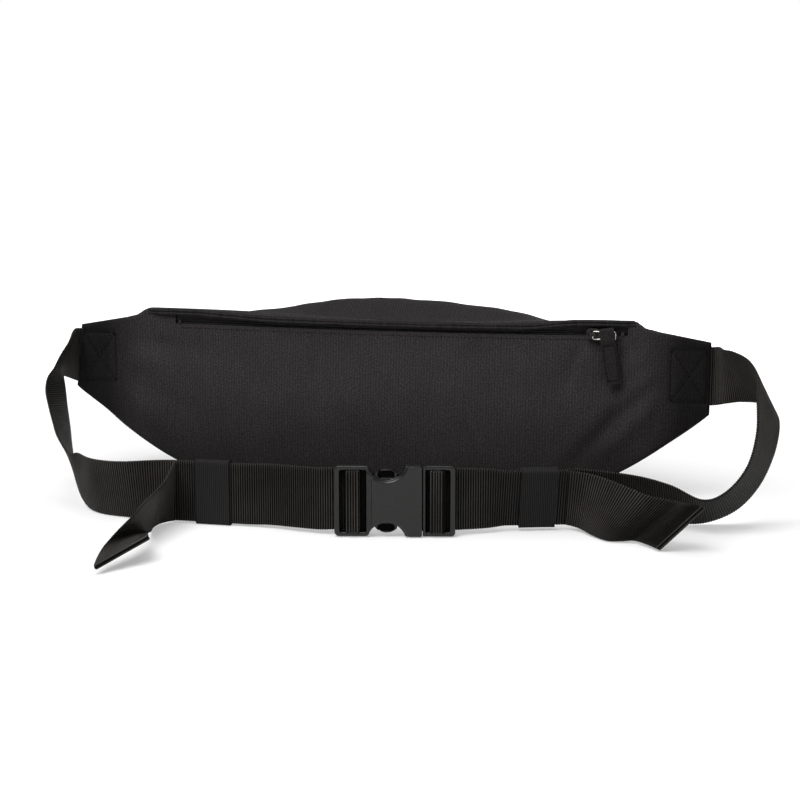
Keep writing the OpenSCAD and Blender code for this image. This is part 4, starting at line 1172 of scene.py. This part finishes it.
for side, word in ((1, "upper"), (-1, "lower")):
    low, high = sorted((side * 13.9, side * 18.7))
    arm = block((-12, -3.0, ARM_Z * side - ARM_T / 2), (10.5, 3.0, ARM_Z * side + ARM_T / 2), 0.6)
    pad = drum((NOTCH_X, 0, side * 10.3), 9.2, 6.0, sides=96)
    cut(pad, block((-30, -9, -40 if side > 0 else -12.2), (30, 9, 12.2 if side > 0 else 40)),
        block((-40, -9, -40), (-12, 9, 40)), block((1.4, -9, -40), (40, 9, 40)))
    for face in (-1, 1):
        near, far = sorted((face * 0.7, face * 6))
        cut(pad, block((NOTCH_X - 5.4, near, low), (NOTCH_X + 5.0, far, high), 2.38))
    prong = moulded("prong_" + word + "_pad", [pad, arm], 0.24, 5, in_buckle, 0.6)
    prong.data.materials.append(plastic)
    hollow(prong, ((NOTCH_X - 5.3, -1.9, low + 0.2), (NOTCH_X + 4.9, 1.9, high - 0.2)))
    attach(prong, "prong_" + word)
    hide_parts("prong_" + word)

# ---------- pocket zip ----------
# A nylon coil zip behind the slot. Its two tapes are sewn to the back of the panel,
# and each coil is one filament wound and sewn along its tape's edge.
TAPE_T, COIL_T, COIL_GAP = 0.7, 1.4, 1.2
POCKET_TAPE_Y = BACK_Y + PANEL_T + 0.1

tape_black, tree, surface = new_material("zip_tape_black", (0.014, 0.0135, 0.0138), 0.8,
                                         Sheen_Weight=0.2, Specular_IOR_Level=0.3)
uv, split = cloth_lengths(tree)
herring = maths(tree, "PINGPONG", split.outputs["Y"], 1.2)
chevron = ribs(tree, maths(tree, "ADD", split.outputs["X"], herring), 0.8)
tree.links.new(mixed(tree, chevron, (0.008, 0.0077, 0.008), (0.02, 0.0192, 0.0196)),
               surface.inputs["Base Color"])
bumped(tree, surface, chevron, 0.00006)

coil_black, tree, surface = new_material("zip_coil_black", (0.012, 0.0118, 0.012), 0.35,
                                         Specular_IOR_Level=0.5)
fuzz = in_solid(tree, "ShaderNodeTexNoise", Scale=1400.0, Detail=2.0)
tree.links.new(mixed(tree, fuzz.outputs["Fac"], (0.009, 0.0088, 0.009), (0.017, 0.0166, 0.0168)),
               surface.inputs["Base Color"])
bumped(tree, surface, fuzz.outputs["Fac"], 0.00001)


def zip_tape(name, corner, size, flat_axis, bend, body, node):
    """A woven tape from its low corner. bend(x) moves it off its straight line."""
    rows = []
    for i in range(121):
        x = corner[0] + size[0] * i / 120
        move = bend(x)
        if flat_axis == "y":
            rows.append([(x, corner[1], corner[2] + move + size[2] * j / 8) for j in range(9)])
        else:
            rows.append([(x, corner[1] + size[1] * j / 8, corner[2] + size[2]) for j in range(9)])
    out = Vector((0, -1, 0)) if flat_axis == "y" else Vector((0, 0, 1))
    tape = grid_mesh(name, rows, out)
    thicken(tape, TAPE_T)
    tape.data.materials.append(tape_black)
    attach(tape, body)
    if node:
        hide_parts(node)


def zip_coil(name, x0, x1, centre, half_y, half_z, phase, body):
    """A filament wound round its tape's edge, with one turn for each tooth."""
    pitch, wire, around = 1.35, 0.27, 10
    turns = int((x1 - x0) / pitch)
    places = []
    for i in range(turns * around + 1):
        a = 2 * math.pi * (i / around + phase)
        x = x0 + pitch * i / around
        y, z = centre(x)
        places.append((x, y + (half_y - wire) * math.cos(a), z + (half_z - wire) * math.sin(a)))
    grid = np.array(places)
    ahead = in_unit(np.gradient(grid, axis=0))
    side = in_unit(np.cross(ahead, (1.0, 0.0, 0.0)))
    other = np.cross(ahead, side)

    def ring(i):
        return [grid[i] + wire * (side[i] * math.cos(a) + other[i] * math.sin(a))
                for a in [2 * math.pi * k / 5 for k in range(5)]]

    coil = tube_mesh(name, grid, ring)
    coil.data.materials.append(coil_black)
    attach(coil, body)
    return coil


zip_tape("pocket_tape_upper_cloth", (POCKET_LEFT + 0.5, POCKET_TAPE_Y, POCKET_Z + 0.6),
         (POCKET_RIGHT - POCKET_LEFT - 1, TAPE_T, 5.2), "y", lambda x: -slot_sag(x), "bag",
         "pocket_tape_upper")
zip_tape("pocket_tape_lower_cloth", (POCKET_LEFT + 0.5, POCKET_TAPE_Y, POCKET_Z - 8.6),
         (POCKET_RIGHT - POCKET_LEFT - 1, TAPE_T, 8), "y", lambda x: -slot_sag(x), "bag",
         "pocket_tape_lower")
pocket_coil_y, pocket_coil_up = POCKET_TAPE_Y - COIL_T / 2 - 0.02, 0.98
upper_coil = zip_coil("pocket_coil_upper", POCKET_LEFT + 2, POCKET_RIGHT - 2,
                      lambda x: (pocket_coil_y, POCKET_Z + pocket_coil_up - slot_sag(x)),
                      0.7, 0.5, 0.0, "bag")
zip_coil("pocket_coil_lower", POCKET_LEFT + 2, POCKET_RIGHT - 2,
         lambda x: (pocket_coil_y, POCKET_Z - pocket_coil_up - slot_sag(x)),
         0.7, 0.5, 0.5, "bag")
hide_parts("pocket_coils")

# ---------- main zip ----------
# A longer zip of the same kind runs along the top. One tape is sewn to the narrow
# strip behind the back edge, the other to the lip.
MAIN_HEIGHT, MAIN_HALF, MAIN_TAPE_W = 112.0, 150.0, 8
MAIN_COIL_OUT, MAIN_COIL_Z = 1.5, MAIN_HEIGHT + 0.74


def straight(x):
    """No bend."""
    return 0.0


zip_tape("main_tape_rear_cloth", (-MAIN_HALF, ZIP_Y - COIL_GAP / 2 - MAIN_TAPE_W,
                                  MAIN_HEIGHT - TAPE_T),
         (2 * MAIN_HALF, MAIN_TAPE_W, TAPE_T), "z", straight, "bag", "main_tape_rear")
zip_tape("main_tape_front_cloth", (-LIP_HALF + 1, ZIP_Y + COIL_GAP / 2, MAIN_HEIGHT - TAPE_T),
         (2 * LIP_HALF - 2, MAIN_TAPE_W, TAPE_T), "z", straight, "lip", "main_tape_front")
rear_coil = zip_coil("main_coil_rear_wire", -MAIN_HALF + 2, MAIN_HALF - 2,
                     lambda x: (ZIP_Y - MAIN_COIL_OUT, MAIN_COIL_Z), 1.0, 0.7, 0.0, "bag")
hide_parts("main_coil_rear")
lip_coil = zip_coil("main_coil_front_wire", -LIP_HALF + 1, LIP_HALF - 1,
                    lambda x: (ZIP_Y + MAIN_COIL_OUT, MAIN_COIL_Z), 1.0, 0.7, 0.5, "lip")
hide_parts("main_coil_front")
for side, word in ((-1, "left"), (1, "right")):
    start = LIP_HALF + 0.4 if side > 0 else -MAIN_HALF + 2
    zip_tape("main_tape_end_" + word, (start, ZIP_Y + COIL_GAP / 2, MAIN_HEIGHT - TAPE_T),
             (MAIN_HALF - 2.4 - LIP_HALF, 6, TAPE_T), "z", straight, "bag", None)
    zip_coil("main_coil_end_" + word, start + 0.3, start + MAIN_HALF - 2.6 - LIP_HALF,
             lambda x: (ZIP_Y + MAIN_COIL_OUT, MAIN_COIL_Z), 1.0, 0.7, 0.5, "bag")

# ---------- sliders, rings and stops ----------
# Die-cast sliders with a black finish: two plates joined by a neck, with a bridge on
# top. A bright ring bent from wire goes through the bridge. The stops are steel.
nickel, tree, surface = new_material("bright_nickel", (0.72, 0.71, 0.70), 0.22, Metallic=1.0)
scuffs = in_solid(tree, "ShaderNodeTexNoise", Scale=600.0, Detail=5.0, Roughness=0.7)
tree.links.new(mixed(tree, scuffs.outputs["Fac"], (0.30, 0.28, 0.265), (0.58, 0.55, 0.53)),
               surface.inputs["Base Color"])
tree.links.new(ranged(tree, scuffs.outputs["Fac"], 0.16, 0.36), surface.inputs["Roughness"])
bumped(tree, surface, scuffs.outputs["Fac"], 0.00001)

gunmetal, tree, surface = new_material("black_plated_steel", (0.03, 0.03, 0.031), 0.4,
                                       Metallic=1.0)
specks = in_solid(tree, "ShaderNodeTexNoise", Scale=900.0, Detail=4.0)
tree.links.new(mixed(tree, specks.outputs["Fac"], (0.014, 0.0135, 0.013), (0.045, 0.042, 0.04)),
               surface.inputs["Base Color"])
bumped(tree, surface, specks.outputs["Fac"], 0.00002)

SLIDER_L, SLIDER_W, PLATE_T = 9.0, 7.2, 1.1
BRIDGE_H, BRIDGE_W = 2.4, 2.2


def zip_slider(name, above, below, place, body, node):
    """A slider in its own frame: it runs along X and its bridge stands along Z."""
    plates = []
    for low, side in ((above, 1), (-below - PLATE_T, -1)):
        plates.append(block((-SLIDER_L / 2, -SLIDER_W / 2, low),
                            (SLIDER_L / 2, SLIDER_W / 2, low + PLATE_T), 2.2, axis=2))
        edge = low if side > 0 else low + PLATE_T
        for y in (-1, 1):
            y0, y1 = sorted((y * (SLIDER_W / 2 - 0.7), y * SLIDER_W / 2))
            z0, z1 = sorted((edge, edge - side * 0.2))
            plates.append(block((-2.6, y0, z0), (3.4, y1, z1), 0.2, axis=2))
    neck = block((-SLIDER_L / 4, -0.35, -below - 0.4), (SLIDER_L / 4, 0.35, above + 0.4))
    top = above + PLATE_T + BRIDGE_H
    bridge = block((-SLIDER_L / 4 - 0.7, -BRIDGE_W / 2, above + PLATE_T - 0.4),
                   (SLIDER_L / 4 + 0.7, BRIDGE_W / 2, top + 0.85), 1.5)
    cut(bridge, block((-SLIDER_L / 4 + 0.7, -4, above + PLATE_T - 2),
                      (SLIDER_L / 4 - 0.7, 4, top), 0.8))
    slider = moulded(name, [bridge, neck, *plates], 0.15, 4, place, 0.5)
    slider.data.materials.append(gunmetal)
    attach(slider, body)
    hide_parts(node)


RING_R, RING_HALF = 0.5, 2.5


def wire_ring(name, length, place, body, node):
    """A ring bent from 1 mm wire, with its near bar on its own Y axis."""
    path = []
    corner = 1.1
    for cx, side, a0 in ((length, 1, 0), (0, 1, 90), (0, -1, 180), (length, -1, 270)):
        ox, oy = cx + (corner if cx == 0 else -corner), side * (RING_HALF - corner)
        path += [(ox + corner * math.cos(math.radians(a0 + 15 * k)),
                  oy + corner * math.sin(math.radians(a0 + 15 * k)), 0) for k in range(7)]
    curve = bpy.data.curves.new(name, "CURVE")
    curve.dimensions = "3D"
    curve.bevel_depth = RING_R
    curve.bevel_resolution = 3
    line = curve.splines.new("POLY")
    line.points.add(len(path) - 1)
    for spot, p in zip(line.points, path):
        spot.co = (*p, 1)
    line.use_cyclic_u = True
    made = bpy.data.objects.new(name, curve)
    bpy.context.scene.collection.objects.link(made)
    alone(made)
    bpy.ops.object.convert(target="MESH")
    ring = bpy.context.active_object
    ring.data.transform(Matrix.Scale(MM, 4) @ place)
    bpy.ops.object.shade_smooth()
    ring.data.materials.append(nickel)
    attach(ring, body)
    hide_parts(node)


MAIN_REST, POCKET_REST = 140.0, 141.0
MAIN_RING_L, POCKET_RING_L, RING_DROP = 9.0, 14.6, 0.6
main_above = COIL_T + 0.3
main_loop_z = MAIN_HEIGHT + main_above + PLATE_T + BRIDGE_H / 2
zip_slider("main_slider_cast", main_above, TAPE_T + 0.3,
           Matrix.Translation((MAIN_REST, ZIP_Y, MAIN_HEIGHT)), "main_slider", "main_slider")
at_main_loop = Matrix.Translation((MAIN_REST, ZIP_Y, main_loop_z))
wire_ring("main_ring_wire", MAIN_RING_L, at_main_loop, "main_puller", "main_ring")

POCKET_ABOVE_Y = BACK_Y - 2 * WELT_R - 0.45
facing_out = Matrix.Rotation(math.pi / 2, 4, "X")
zip_slider("pocket_slider_cast", POCKET_TAPE_Y - POCKET_ABOVE_Y, TAPE_T + 0.3,
           Matrix.Translation((POCKET_REST, POCKET_TAPE_Y, POCKET_Z)) @ facing_out,
           "pocket_slider", "pocket_slider")
POCKET_LOOP_Y = POCKET_ABOVE_Y - PLATE_T - BRIDGE_H / 2
wire_ring("pocket_ring_wire", POCKET_RING_L,
          Matrix.Translation((POCKET_REST, POCKET_LOOP_Y, POCKET_Z - RING_DROP)) @ facing_out,
          "pocket_puller", "pocket_ring")

for node, finish in (("pocket_stops", gunmetal), ("main_stops", nickel)):
    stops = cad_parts[node]
    stops.data.materials.clear()
    stops.data.materials.append(finish)
    softened = stops.modifiers.new("softened", "BEVEL")
    softened.width = 0.00015
    softened.segments = 2

# ---------- fabric pullers ----------
# Each puller is a strip of the bag's canvas with its edges turned in, folded over the
# ring and sewn down both sides and across its end.
thread, tree, surface = new_material("black_thread", (0.011, 0.0105, 0.0108), 0.6,
                                     IOR=FUZZY)
twist = in_solid(tree, "ShaderNodeTexNoise", Scale=2500.0, Detail=2.0)
tree.links.new(mixed(tree, twist.outputs["Fac"], (0.002, 0.0019, 0.0019), (0.009, 0.0086, 0.0088)),
               surface.inputs["Base Color"])
bumped(tree, surface, twist.outputs["Fac"], 0.00003)
SUNK = 0.05


def stitches(name, rows, body, node=None, long=2.3, gap=0.8, wide=0.55):
    """Rows of sewn stitches. A row is a list of (place in mm, normal) along its line."""
    bpy.ops.mesh.primitive_uv_sphere_add(segments=6, ring_count=5, radius=1)
    bead = bpy.context.active_object
    shape = np.array([tuple(v.co) for v in bead.data.vertices])
    faces = [tuple(p.vertices) for p in bead.data.polygons]
    bpy.data.objects.remove(bead)
    verts, polygons = [], []
    for row in rows:
        line = np.array([tuple(p) for p, _ in row], float)
        away = np.array([tuple(n) for _, n in row], float)
        length = length_along(line)
        count = max(1, int(round(length[-1] / (long + gap))))
        for k in range(count):
            mid = (k + 0.5) * length[-1] / count
            ends = [np.array([np.interp(mid + d, length, line[:, c]) for c in range(3)])
                    for d in (-long / 2, long / 2)]
            up = np.array([np.interp(mid, length, away[:, c]) for c in range(3)])
            up /= np.linalg.norm(up)
            along = ends[1] - ends[0]
            along /= max(np.linalg.norm(along), 1e-9)
            side = np.cross(up, along)
            centre = (ends[0] + ends[1]) / 2 + up * (wide * 0.35 - SUNK)
            made = (centre + shape[:, 2:3] * along * long / 2 + shape[:, 0:1] * side * wide / 2
                    + shape[:, 1:2] * up * wide * 0.4)
            base = len(verts)
            verts += (made * MM).tolist()
            polygons += [tuple(base + v for v in f) for f in faces]
    mesh = bpy.data.meshes.new(name)
    mesh.from_pydata(verts, [], polygons)
    row_piece = added(name, mesh, 180)
    row_piece.data.materials.append(thread)
    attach(row_piece, body)
    if node:
        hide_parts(node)


# where a puller's rows of stitches lie: across it, before its end and past its tunnel
SIDE_ROW, END_ROW, FIRST_ROW = 0.79, 2.2, 3.5


def fabric_puller(name, length, width, neck_w, tunnel, place, body, node):
    """A folded strip in its own frame: the fold is at the origin and it hangs along X."""
    layer, open_half = 1.05, 0.72
    reach = open_half + layer / 2
    closed = layer / 2 + 0.02
    lead = []
    for x in [length - length * i / 60 for i in range(59)]:
        if x > reach + 0.3:
            lead.append((x, reach + (closed - reach) * step_between(tunnel, tunnel + 4, x)))
    fold = [(reach * (1 - math.sin(a)), reach * math.cos(a)) for a in np.linspace(0, math.pi, 13)]
    line = lead + fold + [(x, -z) for x, z in lead[::-1]]
    grid = np.array(line)
    ahead = in_unit(np.gradient(grid, axis=0))
    normal = np.stack([ahead[:, 1], -ahead[:, 0]], 1)
    if normal[0][1] * grid[0][1] < 0:
        normal = -normal
    spots = [-1, -0.96, -0.84, -0.74, -0.6, -0.3, 0, 0.3, 0.6, 0.74, 0.84, 0.96, 1]

    def ring(i):
        x, z = line[i]
        half = neck_w / 2 + (width - neck_w) / 2 * step_between(tunnel * 0.5, tunnel + 3, x)
        half += 0.12 * ripple(x, z, 0, 7, 3.3)
        sewn = (math.exp(-((length - END_ROW - x) / 0.7) ** 2)
                + math.exp(-((x - tunnel - FIRST_ROW) / 0.7) ** 2))
        out, back = [], []
        for s in spots:
            groove = 0.3 * (math.exp(-((abs(s) - SIDE_ROW) / 0.07) ** 2) if x > tunnel + 3 else 0)
            groove += 0.3 * sewn * (1 if abs(s) < 0.8 else 0)
            rise = layer / 2 * (1 - 0.55 * max(0, abs(s) - 0.9) / 0.1) - groove
            rise += 0.06 * ripple(x, s * 9, z, 4, 1.2)
            out.append((x + normal[i][0] * rise, s * half, z + normal[i][1] * rise))
            back.append((x - normal[i][0] * layer / 2 * 0.9, s * half * 0.995,
                         z - normal[i][1] * layer / 2 * 0.9))
        return [Vector(p) for p in out + back[::-1]]

    centres = [Vector((x, 0, z)) for x, z in line]
    tab = tube_mesh(name, centres, ring)
    tab.data.transform(Matrix.Scale(MM, 4) @ place @ Matrix.Scale(1 / MM, 4))
    tab.data.materials.append(strip_canvas)
    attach(tab, body)
    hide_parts(node)
    normal_out = (place.to_3x3() @ Vector((0, 0, 1))).normalized()
    level = layer + 0.02 - 0.28
    rows = []
    first, last = tunnel + FIRST_ROW, length - END_ROW
    for face in (1, -1):
        for y in (-SIDE_ROW, SIDE_ROW):
            rows.append([(place @ Vector((x, y * width / 2, face * level)), normal_out * face)
                         for x in np.linspace(first, last, 8)])
        for x in (last, first):
            rows.append([(place @ Vector((x, y * width / 2, face * level)), normal_out * face)
                         for y in (-SIDE_ROW, SIDE_ROW)])
    stitches(name + "_stitches", rows, body, long=1.7, gap=0.4, wide=0.75)


TAB_T, TAB_W = 2.6, 9.4
tab_fold = (TAB_T - 2 * RING_R - 0.4) / 2
fabric_puller("main_puller_tab", 20.0, TAB_W * 0.72, 3.4, 1.6,
              at_main_loop @ Matrix.Translation((MAIN_RING_L - RING_R - 0.2 - tab_fold, 0, 0)),
              "main_puller", "main_tab")
ring_reach, ring_slack, tab_lean = 6.0, 0.7, 9.0
tab_place = (Matrix.Translation((POCKET_REST + POCKET_RING_L - RING_R - 0.8 - TAB_W / 2,
                                 POCKET_LOOP_Y,
                                 POCKET_Z - RING_DROP + ring_reach / 2 + ring_slack + tab_fold))
             @ Matrix.Rotation(math.radians(90 - tab_lean), 4, "Y") @ facing_out)
fabric_puller("pocket_puller_tab", 36.0, TAB_W, TAB_W, ring_reach + 2 * ring_slack,
              tab_place, "pocket_puller", "pocket_tab")

# ---------- stitching ----------
# Black thread: a box with a cross through each wing and its webbing, and one row that
# holds down the canvas below the pocket's zip.


def on_back(x, z):
    """A place in mm on the back cloth's outer face, with its normal."""
    place, normal, _, _ = back_tree.ray_cast(Vector((x * MM, -0.2, z * MM)), Vector((0, 1, 0)))
    if place is None:
        place, normal = back_tree.find_nearest(Vector((x * MM, BACK_Y * MM, z * MM)))[:2]
    return place / MM, normal


for word, (x0, x1, z0, z1) in zip(("left", "right"), sewn_boxes):
    corners = [(x0, z0), (x1, z0), (x1, z1), (x0, z1), (x0, z0)]
    lines = list(zip(corners, corners[1:])) + [((x0, z0), (x1, z1)), ((x0, z1), (x1, z0))]
    rows = [[on_back(a[0] + (b[0] - a[0]) * k, a[1] + (b[1] - a[1]) * k)
             for k in np.linspace(0, 1, 9)] for a, b in lines]
    stitches("box_stitching_" + word, rows, "bag", "box_stitch_" + word, wide=0.8)

hem_left, _ = seen_on(points["hem_row_left"], back_tree)
hem_right, _ = seen_on(points["hem_row_right"], back_tree)
hem_below = ((hem_left.z + hem_right.z) / 2 / MM
             - POCKET_Z + SLOT_HALF + (slot_sag(hem_left.x / MM) + slot_sag(hem_right.x / MM)) / 2)
hem_line = [on_back(x, POCKET_Z - SLOT_HALF - slot_sag(x) + hem_below)
            for x in np.linspace(POCKET_LEFT + 4, POCKET_RIGHT - 3, 90)]
stitches("hem_stitching", [hem_line], "bag", long=2.0, gap=0.7, wide=0.45)

# ---------- linings, foam and base ----------
# Inside, a thin woven lining hangs in the bag, and another makes the flat pocket. A
# foam sheet keeps the back smooth, and a double layer of canvas is sewn in below.
lining_grey, tree, surface = new_material("grey_lining", (0.035, 0.035, 0.038), 0.5,
                                          Sheen_Weight=0.25, Specular_IOR_Level=0.4)
uv, split = cloth_lengths(tree)
fine = maths(tree, "MULTIPLY", ribs(tree, split.outputs["X"], 0.5),
             ribs(tree, split.outputs["Y"], 0.5))
tree.links.new(mixed(tree, fine, (0.02, 0.02, 0.022), (0.04, 0.04, 0.043)),
               surface.inputs["Base Color"])
bumped(tree, surface, fine, 0.00003)

foam_grey, tree, surface = new_material("grey_foam", (0.09, 0.09, 0.095), 0.9,
                                        Specular_IOR_Level=0.2)
cells = in_solid(tree, "ShaderNodeTexVoronoi", Scale=1200.0)
tree.links.new(mixed(tree, cells.outputs["Distance"], (0.05, 0.05, 0.054), (0.12, 0.12, 0.125)),
               surface.inputs["Base Color"])
bumped(tree, surface, cells.outputs["Distance"], 0.0003)

POCKET_LINING_Y = POCKET_TAPE_Y + TAPE_T + 2.0
FOAM_Y, FOAM_T, LINING_T = POCKET_LINING_Y + 0.7, 3.0, 0.6
INNER_HALF = BODY_HALF - 24


def upright_sheet(name, y, thickness, inset, top, sway, material, node):
    """A sheet inside the back, cut to its outline and no higher than top."""
    rows = []
    for i in range(-60, 61):
        x = INNER_HALF * i / 60
        low, high = low_at(x) + inset, min(top_at(x) - inset, top)
        heights = [low + (high - low) * j / 30 for j in range(31)]
        rows.append([(x, y + sway * 0.5 * (1 + ripple(x, 0, z, 30, 7.7)), z) for z in heights])
    sheet = grid_mesh(name, rows, Vector((0, -1, 0)))
    thicken(sheet, thickness)
    sheet.data.materials.append(material)
    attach(sheet, "bag")
    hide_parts(node)
    return sheet


upright_sheet("pocket_lining_cloth", POCKET_LINING_Y - 0.4, LINING_T, 5, POCKET_Z + 1, 0.35,
              lining_grey, "pocket_lining")
foam_sheet = upright_sheet("back_foam_sheet", FOAM_Y, FOAM_T, 7, MAIN_HEIGHT - 5, 0.2,
                           foam_grey, "back_foam")

BASE_HALF, BASE_T = FLAT_HALF - 6, 1.4
base_rows = []
for i in range(-40, 41):
    x = BASE_HALF * i / 40
    corner = 1 - (1 - min((BASE_HALF - abs(x)) / 60, 1.0)) ** 2
    near, far = BACK_Y + 3, BACK_Y + 3 + (0.5 * depth_at(x) - 3) * (0.2 + 0.8 * corner ** 0.5)
    base_rows.append([(x, near + (far - near) * j / 24, BASE_T) for j in range(25)])
base_cloth = grid_mesh("base_cloth", base_rows, Vector((0, 0, 1)))
thicken(base_cloth, BASE_T)
base_cloth.data.materials.append(canvas)
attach(base_cloth, "bag")
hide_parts("base_panel")

foam_front = FOAM_Y + FOAM_T


def lining_line(x, inset, steps):
    """The lining's section at x, which stays in front of the foam."""
    return [Vector((p.x, max(p.y, foam_front + 0.3), p.z))
            for p in shell_section(x, steps, inset, mouth_at(x))]


lining_rows = [[p + Vector((0, -1, 0)) * (0.5 + 0.5 * ripple(p.x, p.y, p.z, 26, 4.1))
                * step_between(0, 20, p.y - foam_front) * (1 - step_between(90, 108, p.z))
                for p in lining_line(MAIN_HALF * i / 70, CLOTH_T + 0.9, 48)]
               for i in range(-70, 71)]
lining_cloth = grid_mesh("lining_cloth", lining_rows, (0, -20, 60))
thicken(lining_cloth, LINING_T)
lining_cloth.data.materials.append(lining_grey)
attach(lining_cloth, "bag")
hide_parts("inner_lining")

for side, word in ((-1, "left"), (1, "right")):
    rows = [lining_line(side * (BODY_HALF - 12) + k, CLOTH_T + 1.2, 40)[:34]
            for k in (-2, -1, 0, 1, 2)]
    rows = [[Vector((p.x, p.y - 0.35 * (1 - abs(k) / 2), p.z)) for p in row]
            for k, row in zip((-2, -1, 0, 1, 2), rows)]
    binding = grid_mesh("seam_binding_" + word, rows, (side * 170, -34, 70))
    thicken(binding, 0.9)
    binding.data.materials.append(tape_black)
    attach(binding, "bag")
    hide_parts("binding_" + word)

# ---------- floor and light ----------
# A white sweep under soft studio light: a large source above and in front, and weaker
# ones at the right, overhead and behind. The floor keeps the bag's shadow.
bpy.ops.mesh.primitive_plane_add(size=12, location=(0, 1.5, -0.0002))
floor = bpy.context.active_object
floor.name = "floor"
white, tree, surface = new_material("white_floor", (0.62, 0.62, 0.62), 0.7,
                                    Specular_IOR_Level=0.1)
path = add_node(tree, "ShaderNodeLightPath")
shown = maths(tree, "ADD", path.outputs["Is Camera Ray"], path.outputs["Is Glossy Ray"])
place = add_node(tree, "ShaderNodeTexCoord")
away = add_node(tree, "ShaderNodeVectorMath", [(0, place.outputs["Object"])], operation="DISTANCE")
away.inputs[1].default_value = (0.0, -1.6, 0.0)
nearby = ranged(tree, away.outputs["Value"], 0.36, 1.0, 0.38, 0.8)
level = maths(tree, "MULTIPLY", shown, nearby)
glow = add_node(tree, "ShaderNodeEmission", [("Strength", level)])
both = add_node(tree, "ShaderNodeAddShader", [(0, surface.outputs["BSDF"]),
                                             (1, glow.outputs["Emission"])])
tree.links.new(both.outputs["Shader"], tree.nodes["Material Output"].inputs["Surface"])
floor.data.materials.append(white)
floor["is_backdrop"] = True

world = bpy.data.worlds.new("studio")
bpy.context.scene.world = world
world.use_nodes = True
tree = world.node_tree
ground = tree.nodes["Background"]
ground.inputs["Color"].default_value = (1, 1, 1, 1)
path = add_node(tree, "ShaderNodeLightPath")
seen = maths(tree, "MAXIMUM", path.outputs["Is Camera Ray"],
             path.outputs["Is Transmission Ray"])
tree.links.new(ranged(tree, seen, 0.12, 1.0), ground.inputs["Strength"])


def softbox(name, place, aim, size, power):
    """A square studio light turned towards a place."""
    data = bpy.data.lights.new(name, "AREA")
    data.shape = "SQUARE"
    data.size = size
    data.energy = power
    lamp = bpy.data.objects.new(name, data)
    bpy.context.scene.collection.objects.link(lamp)
    lamp.location = place
    lamp.rotation_euler = (Vector(aim) - Vector(place)).to_track_quat("-Z", "Y").to_euler()


softbox("key", (-0.3, -1.0, 1.3), (-0.02, -0.04, 0.08), 1.0, 25)
softbox("fill", (1.3, -1.0, 0.7), (0, -0.05, 0.06), 0.8, 2.5)
softbox("overhead", (0.0, -0.1, 1.6), (0, -0.1, 0.05), 1.4, 9)
softbox("behind", (0.2, 1.6, 0.4), (0, 0.0, 0.05), 1.2, 14)
bpy.context.scene.view_settings.view_transform = "Standard"

# ---------- what shows where ----------
# How far each named place shows from its point in the photograph, in pixels, and the
# box of what this scene shows.
bpy.context.view_layer.update()
graph = bpy.context.evaluated_depsgraph_get()


def shown_pixels(names, keep=None):
    """Pixels of the finished vertices of some pieces, and their places."""
    found = []
    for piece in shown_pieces():
        if names is None or piece.name in names:
            mesh = piece.evaluated_get(graph).data
            co = np.zeros(len(mesh.vertices) * 3)
            mesh.vertices.foreach_get("co", co)
            found.append(co.reshape(-1, 3))
    places = np.vstack(found)
    if keep is not None:
        places = places[keep(places)]
    turn = np.array(camera.matrix_world.inverted())
    local = places @ turn[:3, :3].T + turn[:3, 3]
    scale = PHOTO_SIDE * CAMERA_LENS / SENSOR / -local[:, 2]
    return np.stack([PHOTO_SIDE / 2 + local[:, 0] * scale,
                     PHOTO_SIDE / 2 - local[:, 1] * scale], 1)


def middle_of(pixels):
    """The middle of what some vertices cover."""
    return (pixels.min(0) + pixels.max(0)) / 2


def furthest(pixels, right, down):
    """The pixel furthest in one direction, such as a corner."""
    return pixels[(pixels @ (right, down)).argmax()]


everything = shown_pixels(None)
bag_pixels = shown_pixels(["back_cloth"])
tab_pixels = shown_pixels(["pocket_puller_tab"])
left_pixels = shown_pixels(["left_strap"])
right_pixels = shown_pixels(["right_strap"], lambda p: p[:, 1] < -0.12)
stitch_pixels = shown_pixels(["hem_stitching"])
found = {
    "whole_left": (everything[:, 0].min(), None), "whole_right": (everything[:, 0].max(), None),
    "whole_top": (None, everything[:, 1].min()), "whole_bottom": (None, everything[:, 1].max()),
    "wing_left_top": furthest(bag_pixels, -1, -1),
    "wing_left_low": furthest(bag_pixels, -1, 0.45),
    "wing_right_top": furthest(bag_pixels, 1, -0.8),
    "wing_right_low": furthest(bag_pixels, 1, 0.6),
    "shoulder_right": (None, shown_pixels(["rear_strip_cloth", "back_cloth"],
                                          lambda p: abs(p[:, 0] - 0.165) < 0.003)[:, 1].min()),
    "pocket_slider": middle_of(shown_pixels(["pocket_slider_cast"])),
    "tab_end": middle_of(tab_pixels[tab_pixels[:, 1] > tab_pixels[:, 1].max() - 3]),
    "buckle_left": (shown_pixels(["buckle_socket"])[:, 0].min(), None),
    "buckle_right": (shown_pixels(["buckle_plug"])[:, 0].max(), None),
    "keeper_left": middle_of(shown_pixels(["keeper_left_loop"])),
    "keeper_right": middle_of(shown_pixels(["keeper_right_loop"])),
    "end_left": left_pixels[left_pixels[:, 1].argmax()],
    "end_right": right_pixels[right_pixels[:, 1].argmax()],
}
for name in ("hem_row_left", "hem_row_right"):
    gap = np.abs(stitch_pixels[:, 0] - points[name][0])
    found[name] = (None, stitch_pixels[gap < 3, 1].mean())
({name: [None if got is None else round(float(got) - want, 1)
                  for got, want in zip(found[name], points[name])] for name in points})

low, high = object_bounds()
